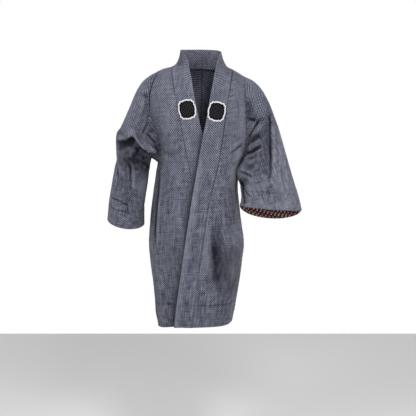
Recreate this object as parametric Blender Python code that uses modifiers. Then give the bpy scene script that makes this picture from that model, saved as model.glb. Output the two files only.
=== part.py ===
"""Kimono coat: a long, straight cotton coat with tube sleeves and one collar band, in its worn form.

It stands hollow and open, as on a wearer, with the left front lapped over the right one. Metres, +Z up,
the front faces -Y and +X is the wearer's left. The origin is on the shoulder line, over the neck's middle.
Each half of the body is one length of cloth that runs from the front hem over the shoulder to the back hem.
"""

import math

import bmesh
import bpy
import numpy as np
from mathutils import Vector

# Cloth and seams
WALL = 0.0018  # body and sleeve cloth, with its seam turnings
COLLAR_WALL = 0.0030  # the band is folded double
FACING_WALL = 0.0010
PATCH_WALL = 0.0012
SEAM = 0.0003  # between two pieces that are sewn together
SEAM_EASE = 0.0002  # a little more on each side, where the two walls' edges aren't quite parallel
LARGEST_BEND = math.radians(100)  # a sharper fold at a seam is eased as if it were this one

# Heights
HEM_Z = -0.913
ARMPIT_Z = -0.330
SHOULDER_ROUND = 0.110  # how far below the shoulder line the chest and back are fully out

# Lap of the left front over the right one
LAP = 0.0072
LAP_FULL_BELOW, LAP_NONE_ABOVE = -0.205, -0.100
LAP_FULL_UNTIL_X, LAP_NONE_FROM_X = 0.088, 0.132

# Body section and neck
SQUARENESS = 2.2  # 2 is an ellipse
NECK_SEAM_X = 0.108  # where the collar seam crosses the shoulder line
NAPE_ANGLE = math.radians(45.6)

# Collar patches and cuff facings
PATCH_WIDTH, PATCH_HEIGHT = 0.058, 0.066
PATCH_SQUARENESS = 3.4
PATCH_LOBES = 12
PATCH_LOBE_DEPTH = 0.035
PATCH_LEAN = math.radians(11)  # the patches lean with the band, towards the middle of the coat
PATCH_EASE = 0.0002  # the band's faces are a little twisted, so the plate stands this much further off
PATCH_CENTRES = {-1: (-0.0500, -0.147), 1: (0.0515, -0.154)}
FACING_DEPTH = 0.060

# A sleeve's folds are placed as if it had this girth and length
SLEEVE_GIRTH, SLEEVE_LENGTH = 0.60, 0.42
FOLD_FADES_OVER = 0.2  # the share of a fold's length, or of a sleeve's, over which folds come in
FOLD_RUNS_PAST = 0.15  # the share of its length that a fold runs past each end before it is gone

# Where the band is sunk across its width, it also leans this much towards the neck's middle
BAND_LEAN = 0.35

# Working steps
SETTLING_TURNS = 8  # to find where a sloping line meets an edge
NEARBY = 0.001  # how far off the collar's slope is read, either way
SMOOTH_UP_TO = math.radians(50)
IN_FRONT, FAR_OUT = -1.0, 1.0  # places well clear of the coat, from which its outer faces are told

# Mesh density
ACROSS_PANEL = 9
ACROSS_COLLAR = 3
SKIRT_ROWS = 12
SLEEVE_RINGS = 18
PATCH_RINGS, PATCH_TURNS = 3, 60

SIDES = {-1: "right", 1: "left"}  # the wearer's


class Table:
    """Rows of named columns, read between its rows on a smooth curve that never overshoots them."""

    def __init__(self, columns, rows):
        values = np.array(sorted(rows), float)
        self.keys = values[:, 0]
        self.values = dict(zip(columns[1:], values[:, 1:].T))
        self.slopes = {name: self.slopes_of(column) for name, column in self.values.items()}

    def slopes_of(self, column):
        steps = np.diff(self.keys)
        rises = np.diff(column) / steps
        slopes = np.concatenate([rises[:1], np.zeros(len(rises) - 1), rises[-1:]])
        for i in range(1, len(rises)):
            if rises[i - 1] * rises[i] > 0:
                before, after = 2 * steps[i] + steps[i - 1], steps[i] + 2 * steps[i - 1]
                slopes[i] = (before + after) / (before / rises[i - 1] + after / rises[i])
        return slopes

    def at(self, key, name):
        key = min(max(key, self.keys[0]), self.keys[-1])
        i = min(max(int(np.searchsorted(self.keys, key)) - 1, 0), len(self.keys) - 2)
        step = self.keys[i + 1] - self.keys[i]
        t = (key - self.keys[i]) / step
        low, high = self.values[name][i : i + 2]
        rise_low, rise_high = self.slopes[name][i : i + 2] * step
        return (
            low * (1 + 2 * t) * (1 - t) ** 2
            + rise_low * t * (1 - t) ** 2
            + high * t * t * (3 - 2 * t)
            - rise_high * t * t * (1 - t)
        )


# The body's level sections, from the hem to the shoulders
BODY = Table(
    ("height", "centre_x", "half_width", "front_depth", "back_depth"),
    (
        (-0.913, -0.0288, 0.1378, 0.118, 0.098),
        (-0.860, -0.0256, 0.1454, 0.121, 0.102),
        (-0.786, -0.0232, 0.1559, 0.124, 0.107),
        (-0.700, -0.0225, 0.1662, 0.127, 0.112),
        (-0.630, -0.0210, 0.1718, 0.128, 0.114),
        (-0.567, -0.0220, 0.1670, 0.128, 0.113),
        (-0.483, -0.0236, 0.1576, 0.127, 0.108),
        (-0.436, -0.0230, 0.1515, 0.126, 0.103),
        (-0.389, -0.0185, 0.1485, 0.125, 0.099),
        (-0.360, -0.0135, 0.1490, 0.125, 0.099),
        (-0.330, -0.0040, 0.1540, 0.126, 0.101),
        (-0.290, 0.0030, 0.1615, 0.127, 0.105),
        (-0.240, 0.0000, 0.1685, 0.127, 0.109),
        (-0.200, -0.0070, 0.1760, 0.125, 0.112),
        (-0.150, -0.0140, 0.1820, 0.121, 0.113),
        (-0.100, -0.0150, 0.1820, 0.116, 0.112),
        (-0.064, -0.0120, 0.1780, 0.112, 0.110),
        (-0.030, -0.0060, 0.1700, 0.108, 0.107),
        (0.000, 0.0000, 0.1620, 0.105, 0.105),
        (0.040, 0.0000, 0.1600, 0.105, 0.105),
    ),
)

# The shoulder line from the neck outwards. The wearer's right shoulder stands a little higher.
SHOULDER = {
    -1: Table(
        ("out", "height"),
        ((0.000, 0.035), (0.070, 0.022), (0.092, 0.011), (0.108, 0.004), (0.130, -0.001), (0.165, -0.015)),
    ),
    1: Table(
        ("out", "height"),
        ((0.000, 0.035), (0.070, 0.016), (0.084, 0.008), (0.102, -0.002), (0.121, -0.012), (0.165, -0.040)),
    ),
}

# Where the collar's sewn edge and its free edge run down each front, as X at each height
FRONT_EDGES = {
    -1: Table(
        ("height", "seam_x", "free_x"),
        (
            (-0.913, -0.006, 0.062),
            (-0.650, -0.014, 0.055),
            (-0.488, -0.024, 0.044),
            (-0.324, -0.048, 0.020),
            (-0.252, -0.0625, 0.0065),
            (-0.193, -0.0735, -0.0080),
            (-0.128, -0.0849, -0.0215),
            (-0.080, -0.0955, -0.0310),
            (-0.030, -0.1035, -0.0440),
            (0.003, -0.1080, -0.0560),
        ),
    ),
    1: Table(
        ("height", "seam_x", "free_x"),
        (
            (-0.913, -0.0320, -0.0990),
            (-0.790, -0.0190, -0.0850),
            (-0.640, 0.0010, -0.0640),
            (-0.488, 0.0213, -0.0430),
            (-0.327, 0.0570, -0.0143),
            (-0.272, 0.0665, -0.0046),
            (-0.227, 0.0725, 0.0034),
            (-0.184, 0.0784, 0.0130),
            (-0.123, 0.0885, 0.0255),
            (-0.095, 0.0937, 0.0315),
            (-0.048, 0.1030, 0.0420),
            (-0.007, 0.1080, 0.0520),
        ),
    ),
}

# Round the neck the band stands up. Rows go from the chest (-90) over the shoulder line (0) to the nape.
# Hollow is how far the middle of the band's width sinks below a straight line across it.
NECK_EDGE_COLUMNS = ("turn", "out", "y", "z", "hollow")
NECK_EDGE = {
    -1: Table(
        NECK_EDGE_COLUMNS,
        (
            (-90.0, 0.0285, -0.1080, -0.092, 0.000),
            (-72.0, 0.0350, -0.0930, -0.050, 0.002),
            (-54.0, 0.0430, -0.0660, -0.010, 0.004),
            (-36.0, 0.0500, -0.0380, 0.021, 0.006),
            (-18.0, 0.0590, -0.0120, 0.044, 0.008),
            (0.0, 0.0690, 0.0080, 0.057, 0.010),
            (14.0, 0.0755, 0.0240, 0.0640, 0.010),
            (27.0, 0.0700, 0.0390, 0.0660, 0.008),
            (36.0, 0.0560, 0.0500, 0.0670, 0.006),
            (42.0, 0.0340, 0.0570, 0.0675, 0.005),
            (45.6, 0.0000, 0.0610, 0.0680, 0.005),
        ),
    ),
    1: Table(
        NECK_EDGE_COLUMNS,
        (
            (-90.0, 0.0325, -0.1080, -0.094, 0.000),
            (-72.0, 0.0395, -0.0910, -0.054, 0.002),
            (-54.0, 0.0460, -0.0660, -0.020, 0.004),
            (-36.0, 0.0520, -0.0390, 0.010, 0.006),
            (-18.0, 0.0580, -0.0130, 0.034, 0.008),
            (0.0, 0.0635, 0.0070, 0.047, 0.010),
            (14.0, 0.0680, 0.0230, 0.0560, 0.010),
            (27.0, 0.0640, 0.0380, 0.0610, 0.008),
            (36.0, 0.0530, 0.0490, 0.0645, 0.006),
            (42.0, 0.0330, 0.0565, 0.0665, 0.005),
            (45.6, 0.0000, 0.0610, 0.0680, 0.005),
        ),
    ),
}

# The armhole's front and back edges and, below it, the side seam, as angles round the body's section:
# 0 is the flank, 90 the middle of the front and -90 the middle of the back.
SIDE_EDGES = {
    -1: Table(
        ("height", "front_angle", "back_angle"),
        (
            (-0.913, 30.0, 30.0),
            (-0.560, 31.0, 31.0),
            (-0.330, 27.0, 27.0),
            (-0.324, 26.0, 7.0),
            (-0.309, 25.0, -8.0),
            (-0.285, 23.5, -18.0),
            (-0.240, 23.5, -28.0),
            (-0.150, 23.0, -33.0),
            (-0.060, 25.0, -30.0),
            (-0.010, 24.5, -24.5),
        ),
    ),
    1: Table(
        ("height", "front_angle", "back_angle"),
        (
            (-0.913, 6.0, 6.0),
            (-0.560, 7.0, 7.0),
            (-0.330, 19.0, 19.0),
            (-0.324, 20.0, 5.0),
            (-0.309, 21.0, -8.0),
            (-0.285, 22.0, -18.0),
            (-0.240, 23.5, -28.0),
            (-0.150, 23.0, -33.0),
            (-0.060, 25.0, -30.0),
            (-0.025, 24.5, -24.5),
        ),
    ),
}

# The centre-back seam sits a little to the wearer's right low down, as the lap pulls the coat round.
CENTRE_BACK = Table(
    ("height", "x"),
    ((-0.913, -0.044), (-0.630, -0.035), (-0.330, -0.014), (-0.100, -0.002), (0.010, 0.000)),
)

# Soft folds of the body, as angles right round it from the wearer's left flank (0) by the front (90)
BODY_FOLD_COLUMNS = ("angle", "width", "top", "bottom", "depth")
BODY_FOLDS = (
    (22.0, 15.0, -0.520, -1.150, -0.0060),
    (48.0, 16.0, -0.450, -1.150, 0.0045),
    (76.0, 16.0, -0.560, -1.150, -0.0030),
    (120.0, 14.0, -0.500, -1.150, -0.0035),
    (150.0, 20.0, -0.640, -0.940, 0.0130),
    (172.0, 14.0, -0.420, -1.150, -0.0060),
    (205.0, 18.0, -0.480, -1.150, 0.0060),
    (238.0, 18.0, -0.520, -1.150, -0.0070),
    (272.0, 18.0, -0.480, -1.150, 0.0060),
    (305.0, 18.0, -0.500, -1.150, -0.0060),
    (336.0, 16.0, -0.460, -1.150, 0.0050),
)

# Sleeve sections from the armhole (0) to the cuff (1). Inner is the underarm line and outer the line along
# the top of the arm. Lifts raise the front and back of a section off the straight line between the two.
SLEEVE_COLUMNS = (
    "along", "inner_x", "inner_z", "outer_x", "outer_z", "centre_y",
    "front_depth", "back_depth", "front_lift", "back_lift",
)
SLEEVE = {
    -1: Table(
        SLEEVE_COLUMNS,
        (
            (0.00, 0.1430, -0.330, 0.1500, -0.012, 0.010, 0.064, 0.075, 0.000, 0.000),
            (0.07, 0.1620, -0.321, 0.1820, -0.027, 0.008, 0.070, 0.075, 0.002, 0.000),
            (0.14, 0.1730, -0.318, 0.2090, -0.048, 0.005, 0.076, 0.075, 0.008, 0.000),
            (0.21, 0.1800, -0.320, 0.2360, -0.090, 0.002, 0.080, 0.074, 0.020, 0.000),
            (0.29, 0.1840, -0.331, 0.2570, -0.143, 0.000, 0.083, 0.073, 0.036, 0.000),
            (0.37, 0.1870, -0.345, 0.2770, -0.194, 0.000, 0.084, 0.072, 0.056, 0.000),
            (0.44, 0.1890, -0.358, 0.2946, -0.236, -0.002, 0.082, 0.072, 0.070, -0.004),
            (0.49, 0.1910, -0.370, 0.3080, -0.262, -0.004, 0.074, 0.072, 0.076, -0.008),
            (0.53, 0.1925, -0.382, 0.3085, -0.285, -0.006, 0.048, 0.072, 0.083, -0.010),
            (0.59, 0.1950, -0.402, 0.3060, -0.330, -0.008, 0.050, 0.071, 0.074, -0.008),
            (0.67, 0.1990, -0.430, 0.3140, -0.376, -0.011, 0.064, 0.071, 0.066, -0.004),
            (0.75, 0.2040, -0.460, 0.3240, -0.424, -0.014, 0.075, 0.073, 0.055, 0.000),
            (0.83, 0.2085, -0.494, 0.3320, -0.466, -0.017, 0.081, 0.076, 0.038, 0.000),
            (0.91, 0.2085, -0.524, 0.3370, -0.500, -0.019, 0.085, 0.078, 0.012, 0.000),
            (1.00, 0.2085, -0.555, 0.3405, -0.533, -0.020, 0.088, 0.080, -0.018, 0.000),
        ),
    ),
    1: Table(
        SLEEVE_COLUMNS,
        (
            (0.00, 0.1450, -0.330, 0.1470, -0.031, 0.005, 0.060, 0.075, 0.000, 0.000),
            (0.09, 0.1640, -0.325, 0.1800, -0.046, -0.004, 0.066, 0.076, 0.000, 0.000),
            (0.18, 0.1660, -0.333, 0.2065, -0.069, -0.012, 0.070, 0.076, 0.000, 0.000),
            (0.27, 0.1600, -0.348, 0.2300, -0.108, -0.022, 0.071, 0.076, 0.000, 0.000),
            (0.36, 0.1490, -0.367, 0.2480, -0.150, -0.032, 0.071, 0.075, 0.000, 0.000),
            (0.45, 0.1420, -0.382, 0.2640, -0.195, -0.040, 0.070, 0.073, 0.000, -0.005),
            (0.54, 0.1370, -0.399, 0.2800, -0.243, -0.046, 0.069, 0.071, 0.000, -0.010),
            (0.63, 0.1360, -0.417, 0.2960, -0.297, -0.050, 0.068, 0.069, 0.000, -0.016),
            (0.72, 0.1380, -0.434, 0.3110, -0.349, -0.053, 0.067, 0.067, 0.000, -0.023),
            (0.81, 0.1400, -0.450, 0.3270, -0.401, -0.056, 0.066, 0.065, 0.000, -0.031),
            (0.90, 0.1390, -0.467, 0.3410, -0.448, -0.058, 0.064, 0.063, 0.000, -0.039),
            (1.00, 0.1345, -0.484, 0.3540, -0.500, -0.060, 0.062, 0.062, -0.002, -0.047),
        ),
    ),
}
SLEEVE_BLEND = 0.30  # over this share of its length a sleeve turns from the armhole's shape to its own

# Folds of the sleeves: they run from one place to another, as share of the length and turn round the
# sleeve, where 0 is the underarm line, 90 the front, 180 the top of the arm and 270 the back.
SLEEVE_FOLD_COLUMNS = ("from_along", "from_turn", "to_along", "to_turn", "width", "depth")
SLEEVE_FOLDS = {
    -1: (
        (0.10, 118.0, 0.40, 70.0, 0.020, 0.0050),
        (0.12, 60.0, 0.34, 30.0, 0.022, -0.0080),
        (0.30, 300.0, 0.52, 215.0, 0.022, -0.0080),
        (0.60, 120.0, 0.90, 118.0, 0.020, -0.0040),
        (0.62, 255.0, 0.95, 262.0, 0.022, 0.0060),
    ),
    1: (
        (0.26, 122.0, 0.92, 112.0, 0.022, 0.0085),
        (0.20, 92.0, 0.30, 46.0, 0.018, -0.0085),
        (0.32, 70.0, 0.62, 60.0, 0.026, -0.0070),
        (0.25, 250.0, 0.90, 262.0, 0.024, 0.0070),
        (0.30, 300.0, 0.60, 315.0, 0.024, -0.0080),
    ),
}

# Colours
CHECK_CLOTH = (0.150, 0.155, 0.205, 1.0)
FACING_CLOTH = (0.090, 0.010, 0.014, 1.0)
PATCH_CLOTH = (0.006, 0.006, 0.008, 1.0)
CLOTH_ROUGHNESS = 0.9


def smooth_step(low, high, value):
    t = min(max((value - low) / (high - low), 0.0), 1.0)
    return t * t * (3 - 2 * t)


def shoulder_height(side, x):
    return SHOULDER[side].at(max(side * x, 0.0), "height")


def flatten(value, power):
    return math.copysign(abs(value) ** power, value)


def body_fold(side, angle, height):
    """How far the cloth stands out at this place because of the body's folds."""
    around = math.degrees(angle) if side > 0 else 180.0 - math.degrees(angle)
    total = 0.0
    for row in BODY_FOLDS:
        fold = dict(zip(BODY_FOLD_COLUMNS, row))
        apart = (around - fold["angle"] + 180.0) % 360.0 - 180.0
        if abs(apart) < fold["width"]:
            across = math.cos(math.radians(90.0 * apart / fold["width"])) ** 2
            total += fold["depth"] * across * smooth_step(fold["top"], fold["bottom"], height)
    return total


def lap_lift(side, x, height):
    """How far the left front stands off the right one, which lies under it."""
    if side < 0:
        return 0.0
    low_enough = smooth_step(LAP_NONE_ABOVE, LAP_FULL_BELOW, height)
    return LAP * low_enough * smooth_step(LAP_NONE_FROM_X, LAP_FULL_UNTIL_X, x)


def body_point(side, height, rounding, angle, front):
    """A point of the body's surface. Rounding is 0 on the shoulder line and 1 where the chest is fully out.

    Angle is 0 at the flank and 90 degrees at the middle of the front.
    """
    power = 2.0 / SQUARENESS
    across, forward = flatten(math.cos(angle), power), flatten(math.sin(angle), power)
    half_width = BODY.at(height, "half_width")
    depth = BODY.at(height, "front_depth" if forward > 0 else "back_depth")
    x = BODY.at(height, "centre_x") + side * half_width * across
    out = Vector((side * math.cos(angle) / half_width, -math.sin(angle) / depth, 0.0)).normalized()
    lift = body_fold(side, angle, height) + (lap_lift(side, x, height) if front else 0.0)
    return Vector((x, -depth * forward * rounding, height)) + out * lift * rounding


def angle_at(side, height, x, front):
    """The angle round the body's section where its surface has this X."""
    across = side * (x - BODY.at(height, "centre_x")) / BODY.at(height, "half_width")
    angle = math.acos(flatten(min(max(across, -1.0), 1.0), SQUARENESS / 2.0))
    return angle if front else -angle


class Station:
    """One line across a body panel: level on the skirt, and along the shoulder's slope higher up."""

    def __init__(self, zone, value, front):
        self.zone, self.value, self.front = zone, value, front
        self.rounding = math.sin(value) if zone == "shoulder" else 1.0

    def height(self, side, x):
        ridge = shoulder_height(side, x)
        if self.zone == "skirt":
            return self.value
        if self.zone == "chest":
            return ARMPIT_Z + (ridge - SHOULDER_ROUND - ARMPIT_Z) * self.value
        return ridge - SHOULDER_ROUND * (1.0 - math.cos(self.value))

    def settle(self, side, x_at_height):
        """The height and X where this line meets an edge whose X depends on the height."""
        x = side * NECK_SEAM_X
        for _ in range(SETTLING_TURNS):
            height = self.height(side, x)
            x = x_at_height(height)
        return height, x

    def point(self, side, angle):
        def x_at(height):
            across = flatten(math.cos(angle), 2.0 / SQUARENESS)
            return BODY.at(height, "centre_x") + side * BODY.at(height, "half_width") * across

        height, _ = self.settle(side, x_at)
        return body_point(side, height, self.rounding, angle, self.front)

    def inner_x(self, side, height):
        if self.front:
            return FRONT_EDGES[side].at(height, "seam_x")
        if self.zone == "shoulder" and self.value < NAPE_ANGLE:
            share = math.sin(self.value) / math.sin(NAPE_ANGLE)
            return side * NECK_SEAM_X * math.sqrt(1.0 - share * share)
        return CENTRE_BACK.at(height, "x")

    def inner_angle(self, side):
        height, x = self.settle(side, lambda height: self.inner_x(side, height))
        return angle_at(side, height, x, self.front)

    def outer_angle(self, side):
        name = "front_angle" if self.front else "back_angle"
        edge = SIDE_EDGES[side]

        def x_at(height):
            across = flatten(math.cos(math.radians(edge.at(height, name))), 2.0 / SQUARENESS)
            return BODY.at(height, "centre_x") + side * BODY.at(height, "half_width") * across

        height, _ = self.settle(side, x_at)
        return math.radians(edge.at(height, name))

    def row(self, side):
        """Points from the inner edge to the outer one."""
        angles = np.linspace(self.inner_angle(side), self.outer_angle(side), ACROSS_PANEL + 1)
        return [self.point(side, angle) for angle in angles]


SKIRT_LEVELS = [float(z) for z in np.linspace(HEM_Z, ARMPIT_Z, SKIRT_ROWS)]
CHEST_SHARES = (0.03, 0.10, 0.22, 0.40, 0.60, 0.80, 1.0)
FRONT_TURNS = tuple(math.radians(turn) for turn in (72, 54, 36, 18, 0))
BACK_TURNS = tuple(math.radians(turn) for turn in (14, 27, 36, 42)) + (NAPE_ANGLE,)
LOW_BACK_TURNS = tuple(math.radians(turn) for turn in (60, 75, 90))

FRONT_STATIONS = (
    [Station("skirt", level, True) for level in SKIRT_LEVELS]
    + [Station("chest", share, True) for share in CHEST_SHARES]
    + [Station("shoulder", turn, True) for turn in FRONT_TURNS]
)
BACK_STATIONS = (
    [Station("shoulder", turn, False) for turn in BACK_TURNS + LOW_BACK_TURNS]
    + [Station("chest", share, False) for share in CHEST_SHARES[-2::-1]]
    + [Station("skirt", level, False) for level in SKIRT_LEVELS[::-1]]
)
STATIONS = FRONT_STATIONS + BACK_STATIONS
ARMPIT_FRONT = SKIRT_ROWS - 1
ARMPIT_BACK = len(STATIONS) - SKIRT_ROWS
RIDGE = len(FRONT_STATIONS) - 1
NAPE = RIDGE + len(BACK_TURNS)


def collar_row(side, index, seam_point):
    """Points across the collar band, from its sewn edge to its free edge."""
    station = STATIONS[index]
    shares = [i / ACROSS_COLLAR for i in range(ACROSS_COLLAR + 1)]
    if station.zone != "shoulder":
        height = seam_point.z
        start = angle_at(side, height, FRONT_EDGES[side].at(height, "seam_x"), True)
        end = angle_at(side, height, FRONT_EDGES[side].at(height, "free_x"), True)
        return [body_point(side, height, 1.0, start + (end - start) * share, True) for share in shares]
    turn = math.degrees(station.value) * (-1 if station.front else 1)
    edge = NECK_EDGE[side]
    free = Vector((side * edge.at(turn, "out"), edge.at(turn, "y"), edge.at(turn, "z")))
    sink = Vector((-side * BAND_LEAN, 0.0, -1.0)) * edge.at(turn, "hollow")
    return [seam_point.lerp(free, share) + sink * 4 * share * (1 - share) for share in shares]


def part_at_seam(first, first_next, first_wall, second, second_next, second_wall):
    """The two edge points of a seam, drawn apart so that their walls stay a seam's gap from each other."""
    into_first = (first_next - first).normalized()
    into_second = (second_next - second).normalized()
    bend = min(into_first.angle(-into_second), LARGEST_BEND)
    ease = math.tan(bend / 2.0)
    return (
        first + into_first * (SEAM / 2 + SEAM_EASE + first_wall / 2 * ease),
        second + into_second * (SEAM / 2 + SEAM_EASE + second_wall / 2 * ease),
    )


def part_panels_at_back(panels):
    for index in range(NAPE, len(STATIONS)):
        right, left = panels[-1][index], panels[1][index]
        middle = (right[0] + left[0]) / 2
        right[0], left[0] = part_at_seam(middle, right[1], WALL, middle.copy(), left[1], WALL)


def part_panel_at_side(rows):
    """The side seam, where a panel's own front and back edges meet."""
    for index in range(ARMPIT_FRONT + 1):
        front, back = rows[index], rows[len(rows) - 1 - index]
        middle = (front[-1] + back[-1]) / 2
        front[-1], back[-1] = part_at_seam(middle, front[-2], WALL, middle.copy(), back[-2], WALL)


def laid_flat(along, turn):
    return np.array((along * SLEEVE_LENGTH, turn / 360.0 * SLEEVE_GIRTH))


def fold_on_sleeve(side, along, turn):
    """How far a sleeve's cloth stands out at this place because of its folds."""
    total = 0.0
    here = laid_flat(along, turn)
    for row in SLEEVE_FOLDS[side]:
        fold = dict(zip(SLEEVE_FOLD_COLUMNS, row))
        start = laid_flat(fold["from_along"], fold["from_turn"])
        run = laid_flat(fold["to_along"], fold["to_turn"]) - start
        share = float(np.dot(here - start, run) / np.dot(run, run))
        off = float(np.linalg.norm(here - start - run * min(max(share, 0.0), 1.0)))
        comes_in = smooth_step(-FOLD_RUNS_PAST, FOLD_FADES_OVER, share)
        goes_out = smooth_step(1.0 + FOLD_RUNS_PAST, 1.0 - FOLD_FADES_OVER, share)
        total += fold["depth"] * math.exp(-((off / fold["width"]) ** 2)) * comes_in * goes_out
    return total * smooth_step(0.0, FOLD_FADES_OVER, along)


def sleeve_turns(hole):
    """Each armhole point's turn in degrees, from the underarm point by the front (90) over the top (180)."""
    top = max(range(len(hole)), key=lambda i: hole[i].z)
    steps = [(hole[(i + 1) % len(hole)] - point).length for i, point in enumerate(hole)]
    front, back = sum(steps[:top]), sum(steps[top:])
    turns = [180.0 * sum(steps[:i]) / front for i in range(top)]
    return turns + [180.0 + 180.0 * sum(steps[top:i]) / back for i in range(top, len(hole))]


def sleeve_section(side, along, turn):
    at = {name: SLEEVE[side].at(along, name) for name in SLEEVE_COLUMNS[1:]}
    cosine, sine = math.cos(math.radians(turn)), math.sin(math.radians(turn))
    inner, outer = np.array((at["inner_x"], at["inner_z"])), np.array((at["outer_x"], at["outer_z"]))
    x, z = (inner + outer) / 2 + (outer - inner) / 2 * -cosine
    depth, lift = ("front_depth", "front_lift") if sine > 0 else ("back_depth", "back_lift")
    return Vector((side * x, at["centre_y"] - at[depth] * sine, z + at[lift] * abs(sine)))


def sleeve_rings(side, hole):
    """Rings of points from the armhole to the cuff."""
    turns = sleeve_turns(hole)
    rings = []
    for along in np.linspace(0.0, 1.0, SLEEVE_RINGS + 1):
        fade = max(1.0 - along / SLEEVE_BLEND, 0.0) ** 2
        ring = []
        for point, turn in zip(hole, turns):
            place = sleeve_section(side, along, turn)
            centre = (sleeve_section(side, along, 0) + sleeve_section(side, along, 180)) / 2
            away = (place - centre).normalized()
            fold = fold_on_sleeve(side, along, turn)
            ring.append(place + (point - sleeve_section(side, 0.0, turn)) * fade + away * fold)
        rings.append(ring)
    return rings


def armhole_loop(rows):
    """The panel's edge points round the armhole: underarm, front, shoulder, back."""
    underarm = (rows[ARMPIT_FRONT][-1] + rows[ARMPIT_BACK][-1]) / 2
    return [underarm] + [rows[i][-1].copy() for i in range(ARMPIT_FRONT + 1, ARMPIT_BACK)]


def sew_sleeve(rows, rings):
    """Draws the sleeve's first ring and the panel's armhole edge apart, and leaves a gap at the underarm."""
    for step, index in enumerate(range(ARMPIT_FRONT + 1, ARMPIT_BACK), start=1):
        row = rows[index]
        row[-1], rings[0][step] = part_at_seam(row[-1], row[-2], WALL, rings[0][step], rings[1][step], WALL)
    for step in (-1, 0, 1):
        into = (rings[1][step] - rings[0][step]).normalized()
        rings[0][step] = rings[0][step] + into * WALL


def grid_mesh(name, rows, closed=False):
    """An open surface through rows of points. A closed one joins each row's ends."""
    mesh = bmesh.new()
    verts = [[mesh.verts.new(point) for point in row] for row in rows]
    for low, high in zip(verts, verts[1:]):
        pairs = list(zip(range(len(low)), range(1, len(low)))) + ([(len(low) - 1, 0)] if closed else [])
        for i, j in pairs:
            mesh.faces.new((low[i], low[j], high[j], high[i]))
    data = bpy.data.meshes.new(name)
    mesh.to_mesh(data)
    mesh.free()
    return data


def face_outwards(data, outside):
    """Turns the surface so that its face nearest this point outside the coat looks towards it."""
    centre = min(data.polygons, key=lambda face: (face.center - outside).length)
    if centre.normal.dot(outside - centre.center) < 0:
        data.flip_normals()


def cloth(name, data, wall, material, outside):
    """A cloth piece: an open surface given its thickness, half to each side."""
    face_outwards(data, outside)
    piece = bpy.data.objects.new(name, data)
    solidify = piece.modifiers.new("thickness", "SOLIDIFY")
    solidify.thickness = wall
    solidify.offset = 0.0
    solidify.use_even_offset = False
    data.materials.append(material)
    data.shade_smooth()
    data.set_sharp_from_angle(angle=SMOOTH_UP_TO)
    COAT.objects.link(piece)
    return piece


def material(name, colour):
    made = bpy.data.materials.new(name)
    made.use_nodes = True
    shader = made.node_tree.nodes["Principled BSDF"]
    shader.inputs["Base Color"].default_value = colour
    shader.inputs["Roughness"].default_value = CLOTH_ROUGHNESS
    shader.inputs["Metallic"].default_value = 0.0
    return made


def make_collar(panels, cloth_material):
    rows, bands = [], {}
    for side in (-1, 1):
        half = []
        for index in range(NAPE + 1):
            panel_row = panels[side][index]
            band = collar_row(side, index, panel_row[0])
            panel_row[0], band[0] = part_at_seam(
                panel_row[0], panel_row[1], WALL, panel_row[0].copy(), band[1], COLLAR_WALL
            )
            half.append(band)
        bands[side] = half
        rows = half if side < 0 else rows[:-1] + half[::-1]
    data = grid_mesh("collar", rows)
    cloth("collar", data, COLLAR_WALL, cloth_material, Vector((-0.06, IN_FRONT, -0.2)))
    return bands


def facing_rings(rings):
    """The cuff's facing: the sleeve's last points, moved inwards."""
    ends = []
    length = 0.0
    for index in range(len(rings) - 1, 0, -1):
        ends.append(index)
        length += np.mean([(a - b).length for a, b in zip(rings[index], rings[index - 1])])
        if length > FACING_DEPTH:
            break
    ends.append(ends[-1] - 1)
    inward = WALL / 2 + SEAM + FACING_WALL / 2
    made = []
    for index in ends[::-1]:
        ring = rings[index]
        before, after = rings[max(index - 1, 0)], rings[min(index + 1, len(rings) - 1)]
        centre = sum(ring, Vector()) / len(ring)
        moved = []
        for i, point in enumerate(ring):
            around = ring[(i + 1) % len(ring)] - ring[i - 1]
            normal = around.cross(after[i] - before[i]).normalized()
            normal *= math.copysign(1.0, normal.dot(centre - point))
            moved.append(point + normal * inward)
        made.append(moved)
    return made


def on_band(rows, x, z):
    """The place on the collar band's own flat faces at this X and height, where its rows are level."""
    index = next(i for i in range(len(rows) - 1) if rows[i][0].z <= z < rows[i + 1][0].z)
    share = (z - rows[index][0].z) / (rows[index + 1][0].z - rows[index][0].z)
    line = [low.lerp(high, share) for low, high in zip(rows[index], rows[index + 1])]
    line.sort(key=lambda point: point.x)
    step = next((i for i in range(len(line) - 2) if x < line[i + 1].x), len(line) - 2)
    across = (x - line[step].x) / (line[step + 1].x - line[step].x)
    return line[step].lerp(line[step + 1], across)


def patch_edge(side, angle):
    """How far the patch's edge lies from its centre across and up, in this direction."""
    across, up = math.cos(angle), math.sin(angle)
    reach = (
        abs(2 * across / PATCH_WIDTH) ** PATCH_SQUARENESS + abs(2 * up / PATCH_HEIGHT) ** PATCH_SQUARENESS
    ) ** (-1.0 / PATCH_SQUARENESS)
    reach *= 1.0 + PATCH_LOBE_DEPTH * math.cos(PATCH_LOBES * angle)
    lean = -side * PATCH_LEAN
    turned = (math.cos(lean) * across - math.sin(lean) * up, math.sin(lean) * across + math.cos(lean) * up)
    return reach * turned[0], reach * turned[1]


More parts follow.
